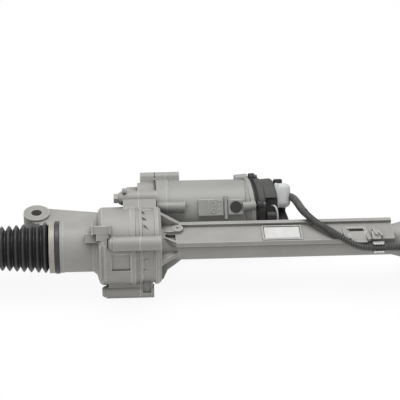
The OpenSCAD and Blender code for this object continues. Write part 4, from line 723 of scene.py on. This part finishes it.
# Bellows: moulded black rubber, nineteen rounded folds a side that taper outwards, with a
# grooved cuff on the housing and a small one on the tie rod. The folds are made in three
# runs: one along the rack, one over the inner joint and one along the tie rod.
bellows_rubber = toned_surface_with_painted_light(
    "bellows_rubber", (0.02, 0.02, 0.02), 0, 0.42, cloud=60, shade=0.25, grain=1300, depth=0.00005)
folds = 19
fold_pitch = 9.4
fold_depth = 6.9
steps_per_fold = 14
first_fold_r = 33.5
taper = 0.075
folds_from = -78.9
bellows_wall = 0.0014
# Side, place of its inner ball joint along the rack, and the direction outwards
inner_joints = (("left", -61.5, -1), ("right", 677.5, 1))


def fold_r(i):
    """Radius of a fold: it shrinks over the first six folds and again past the twelfth."""
    i = min(max(i, 0), folds - 1)
    return first_fold_r - taper * (min(i, 6) + max(i - 12, 0)) * fold_pitch


def crest_r(halves):
    """Radius over the folds, at a number of half folds from the housing."""
    i = halves // 2
    return fold_r(i) if halves % 2 else (fold_r(i - 1) + fold_r(i)) / 2


for side, ball_x, outwards in inner_joints:
    end = Matrix.Translation(gear_point(ball_x, 0, 0)) @ Matrix.Diagonal((outwards, 1, 1, 1))
    cuff = bmesh.new()
    turned_shape(cuff, [(x / 1000, r / 1000) for x, r in (
        (-93.2, 30.05), (-93.2, 34.1), (-92.6, 34.7), (-88, 34.7), (-87.4, 34.2), (-87.1, 33),
        (-79.6, 33), (-78.9, 26), (-78.9, 24.6), (-80.2, 30.05))], end, 72)
    add_piece("bellows_cuff_" + side, cuff, bellows_rubber, "root", ["bellows_" + side])
    tip = bmesh.new()
    turned_shape(tip, [(x / 1000, r / 1000) for x, r in (
        (99.7, 16.14), (99.7, 17.54), (100.6, 16.9), (102.4, 13), (103.7, 11.2), (105.9, 10.7),
        (106.4, 10.5), (114.2, 10.5), (114.6, 11.4), (115, 11.7), (117.2, 11.7), (117.7, 11.2),
        (117.7, 7.6), (103.4, 7.6), (102.6, 9))], end, 48)
    add_piece("bellows_tip_" + side, tip, bellows_rubber, "rod_" + side)
    # Each run by its first and last fold, the fold where its bend ends, and its two bodies
    for run, first, last, until, near_body, far_body in (
            ("rack", 0, 12, 12, "root", "rack"), ("joint", 12, 14, 14, "rack", "liner_" + side),
            ("rod", 14, folds, 16.5, "liner_" + side, "rod_" + side)):
        halves = range(2 * first, 2 * last + 1)
        path = [end @ Vector(((folds_from + h * fold_pitch / 2) / 1000, 0, 0)) for h in halves]
        crest = [crest_r(h) / 1000 for h in halves]
        name = "bellows_%s_%s" % (run, side)
        skin = add_piece(name, ribbed_shape(name, path, crest, {
            "Steps": (last - first) * steps_per_fold + 1, "Sides": 72, "Pitch": fold_pitch / 1000,
            "Fold depth": fold_depth / 1000, "Roundness": 1.5}, bellows_rubber, bellows_wall),
            bellows_rubber, "root", smooth=True)
        skin.parent = None
        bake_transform(skin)

# Band clamps: stainless steel strip, bent round the cuffs of the bellows and crimped at
# an ear, which holds them on the housing and the tie rods.
# rim and crease give the clamps a painted highlight on their edges and painted shade in inner corners.
clamp_steel = toned_surface_with_painted_light(
    "clamp_steel", (0.34, 0.322, 0.28), 0.2, 0.5, cloud=120, shade=0.08, grain=1500, depth=0.00003,
    stretch=(1, 0.04, 0.04), edge=0.0005, rim=0.4, crease=0.5)
dress(clamp_steel, "large_clamps", "small_clamp_left", "small_clamp_right")

# Rack, tie rods, inner joints and inner shafts: turned and ground bare steel. The outer
# ends of the tie rods carry a rolled thread.
# rim and crease give the bare steel a painted highlight on its edges and painted shade in inner corners.
ground_steel = toned_surface_with_painted_light(
    "ground_steel", (0.3, 0.3, 0.295), 0.7, 0.38, cloud=40, shade=0.07, grain=1500, depth=0.00004,
    stretch=(1, 0.05, 0.05), edge=0.0007, rim=0.3, crease=0.5)
dress(ground_steel, "rack_bar", "ball_nut", "bearing_lock_ring", "large_pulley", "small_pulley",
      "rotor_shaft", "ball_socket_left", "ball_socket_right", "tie_rod_left", "tie_rod_right")
thread_r = 0.00749
thread_pitch = 0.0015
thread_turns = 44
for side, ball_x, outwards in inner_joints:
    path = [gear_point(ball_x + outwards * u, 0, 0) for u in (231, 240, 260, 280, 297)]
    add_piece("rod_thread_" + side, ribbed_shape("rod_thread_" + side, path, [thread_r] * len(path), {
        "Steps": thread_turns * 4 + 1, "Sides": 40, "Pitch": thread_pitch, "Fold depth": 0.00046,
        "Roundness": 1.0}, ground_steel), ground_steel, "rod_" + side)

# Pinion, sensor and yoke: a ground steel input shaft out of a black moulded sensor, which
# is screwed on the cast tower and takes the plug of the conduit at its side.
# rim and crease give the shafts a painted highlight on their edges and painted shade in inner corners.
shaft_steel = toned_surface_with_painted_light(
    "shaft_steel", (0.32, 0.32, 0.31), 0.7, 0.38, cloud=60, shade=0.08, grain=1500, depth=0.00004,
    stretch=(0.05, 0.05, 1), edge=0.0006, rim=0.3, crease=0.5)
dress(shaft_steel, "pinion_shaft", "input_shaft", "torsion_bar", "pinion_bearing_nut", "pinion_end_cap",
      "yoke_spring", "yoke_plug")
dress(plastic_black, "sensor_cover", "sensor_connector", "torque_sensor_magnet", "ball_return_tube")
dress(rubber_black, "input_dust_cap", "drive_belt")
dress(bolt_steel, "sensor_screws")

# Inner pieces: bearings of polished steel, bush and liners of nylon, sintered magnets on
# the rotor and copper windings in the stator, all pressed into the castings or joints.
bearing_steel = toned_surface_with_painted_light(
    "bearing_steel", (0.45, 0.45, 0.45), 1.0, 0.22, cloud=80, shade=0.05, grain=2500, depth=0.00002,
    edge=0.0004)
dress(bearing_steel, "nut_balls", "nut_bearing_ring", "nut_bearing_balls", "motor_front_bearing",
      "motor_rear_bearing", "pinion_needle_bearing", "pinion_ball_bearing")
nylon_cream = toned_surface_with_painted_light(
    "nylon_cream", (0.66, 0.6, 0.44), 0, 0.45, cloud=50, shade=0.08, grain=900, depth=0.00005,
    edge=0.0005)
dress(nylon_cream, "rack_bush", "socket_liner_left", "socket_liner_right")
magnet_grey = toned_surface_with_painted_light(
    "magnet_grey", (0.16, 0.16, 0.165), 0.5, 0.45, cloud=90, shade=0.15, grain=1500, depth=0.00004,
    edge=0.0005)
dress(magnet_grey, "rotor_magnets")
copper_wire = toned_surface_with_painted_light(
    "copper_wire", (0.56, 0.2, 0.09), 0.8, 0.35, cloud=90, shade=0.2, grain=420, depth=0.0003,
    stretch=(0.15, 1, 1), edge=0.0006)
dress(copper_wire, "stator")

# Floor and backdrop: white paper that shows white to the lens and keeps a soft shadow,
# under an even white sky, with wide soft lamps over and in front of the gear.


def seen_rays(nodes, links):
    """Output that is 1 for rays from the lens and for those off metal or through glass."""
    ray = nodes.new("ShaderNodeLightPath")
    seen = ray.outputs["Is Camera Ray"]
    for kind in ("Is Glossy Ray", "Is Transmission Ray"):
        either = nodes.new("ShaderNodeMath")
        either.operation = "MAXIMUM"
        links.new(seen, either.inputs[0])
        links.new(ray.outputs[kind], either.inputs[1])
        seen = either.outputs["Value"]
    return seen


floor_half = 6
floor_z = cad_box[0][2] - 0.002
floor_mesh = bpy.data.meshes.new("floor")
floor_mesh.from_pydata(
    [(x * floor_half, y * floor_half, floor_z) for x, y in ((-1, -1), (1, -1), (1, 1), (-1, 1))],
    [], [(0, 1, 2, 3)])
floor = bpy.data.objects.new("floor", floor_mesh)
bpy.context.scene.collection.objects.link(floor)
paper = bpy.data.materials.new("paper")
paper.use_nodes = True
nodes, links = paper.node_tree.nodes, paper.node_tree.links
nodes["Principled BSDF"].inputs["Base Color"].default_value = (0.93, 0.93, 0.93, 1)
nodes["Principled BSDF"].inputs["Roughness"].default_value = 0.9
white = nodes.new("ShaderNodeEmission")
mix = nodes.new("ShaderNodeMixShader")
links.new(ranged(nodes, links, seen_rays(nodes, links), 0, 1, 0, 0.92), mix.inputs["Fac"])
links.new(nodes["Principled BSDF"].outputs["BSDF"], mix.inputs[1])
links.new(white.outputs["Emission"], mix.inputs[2])
links.new(mix.outputs["Shader"], nodes["Material Output"].inputs["Surface"])
floor_mesh.materials.append(paper)

world = bpy.data.worlds.new("world")
bpy.context.scene.world = world
world.use_nodes = True
nodes, links = world.node_tree.nodes, world.node_tree.links
links.new(ranged(nodes, links, seen_rays(nodes, links), 0, 1, 0.42, 1),
          nodes["Background"].inputs["Strength"])
nodes["Background"].inputs["Color"].default_value = (1, 1, 1, 1)


def lamp(name, place, aim, width, height, watts):
    """A rectangular lamp at a place, turned to what it lights."""
    data = bpy.data.lights.new(name, "AREA")
    data.shape = "RECTANGLE"
    data.size = width
    data.size_y = height
    data.energy = watts
    lamp_object = bpy.data.objects.new(name, data)
    bpy.context.scene.collection.objects.link(lamp_object)
    lamp_object.location = place
    lamp_object.rotation_euler = (Vector(place) - Vector(aim)).to_track_quat("Z", "Y").to_euler()


lamp("top_lamp", (0.2, 0.25, 1.7), (0.25, 0, 0), 1.6, 1.0, 26)
lamp("front_lamp", (-0.3, -1.6, 1.0), (0.25, -0.05, 0), 1.2, 0.8, 2.5)
bpy.context.scene.view_settings.view_transform = "Standard"
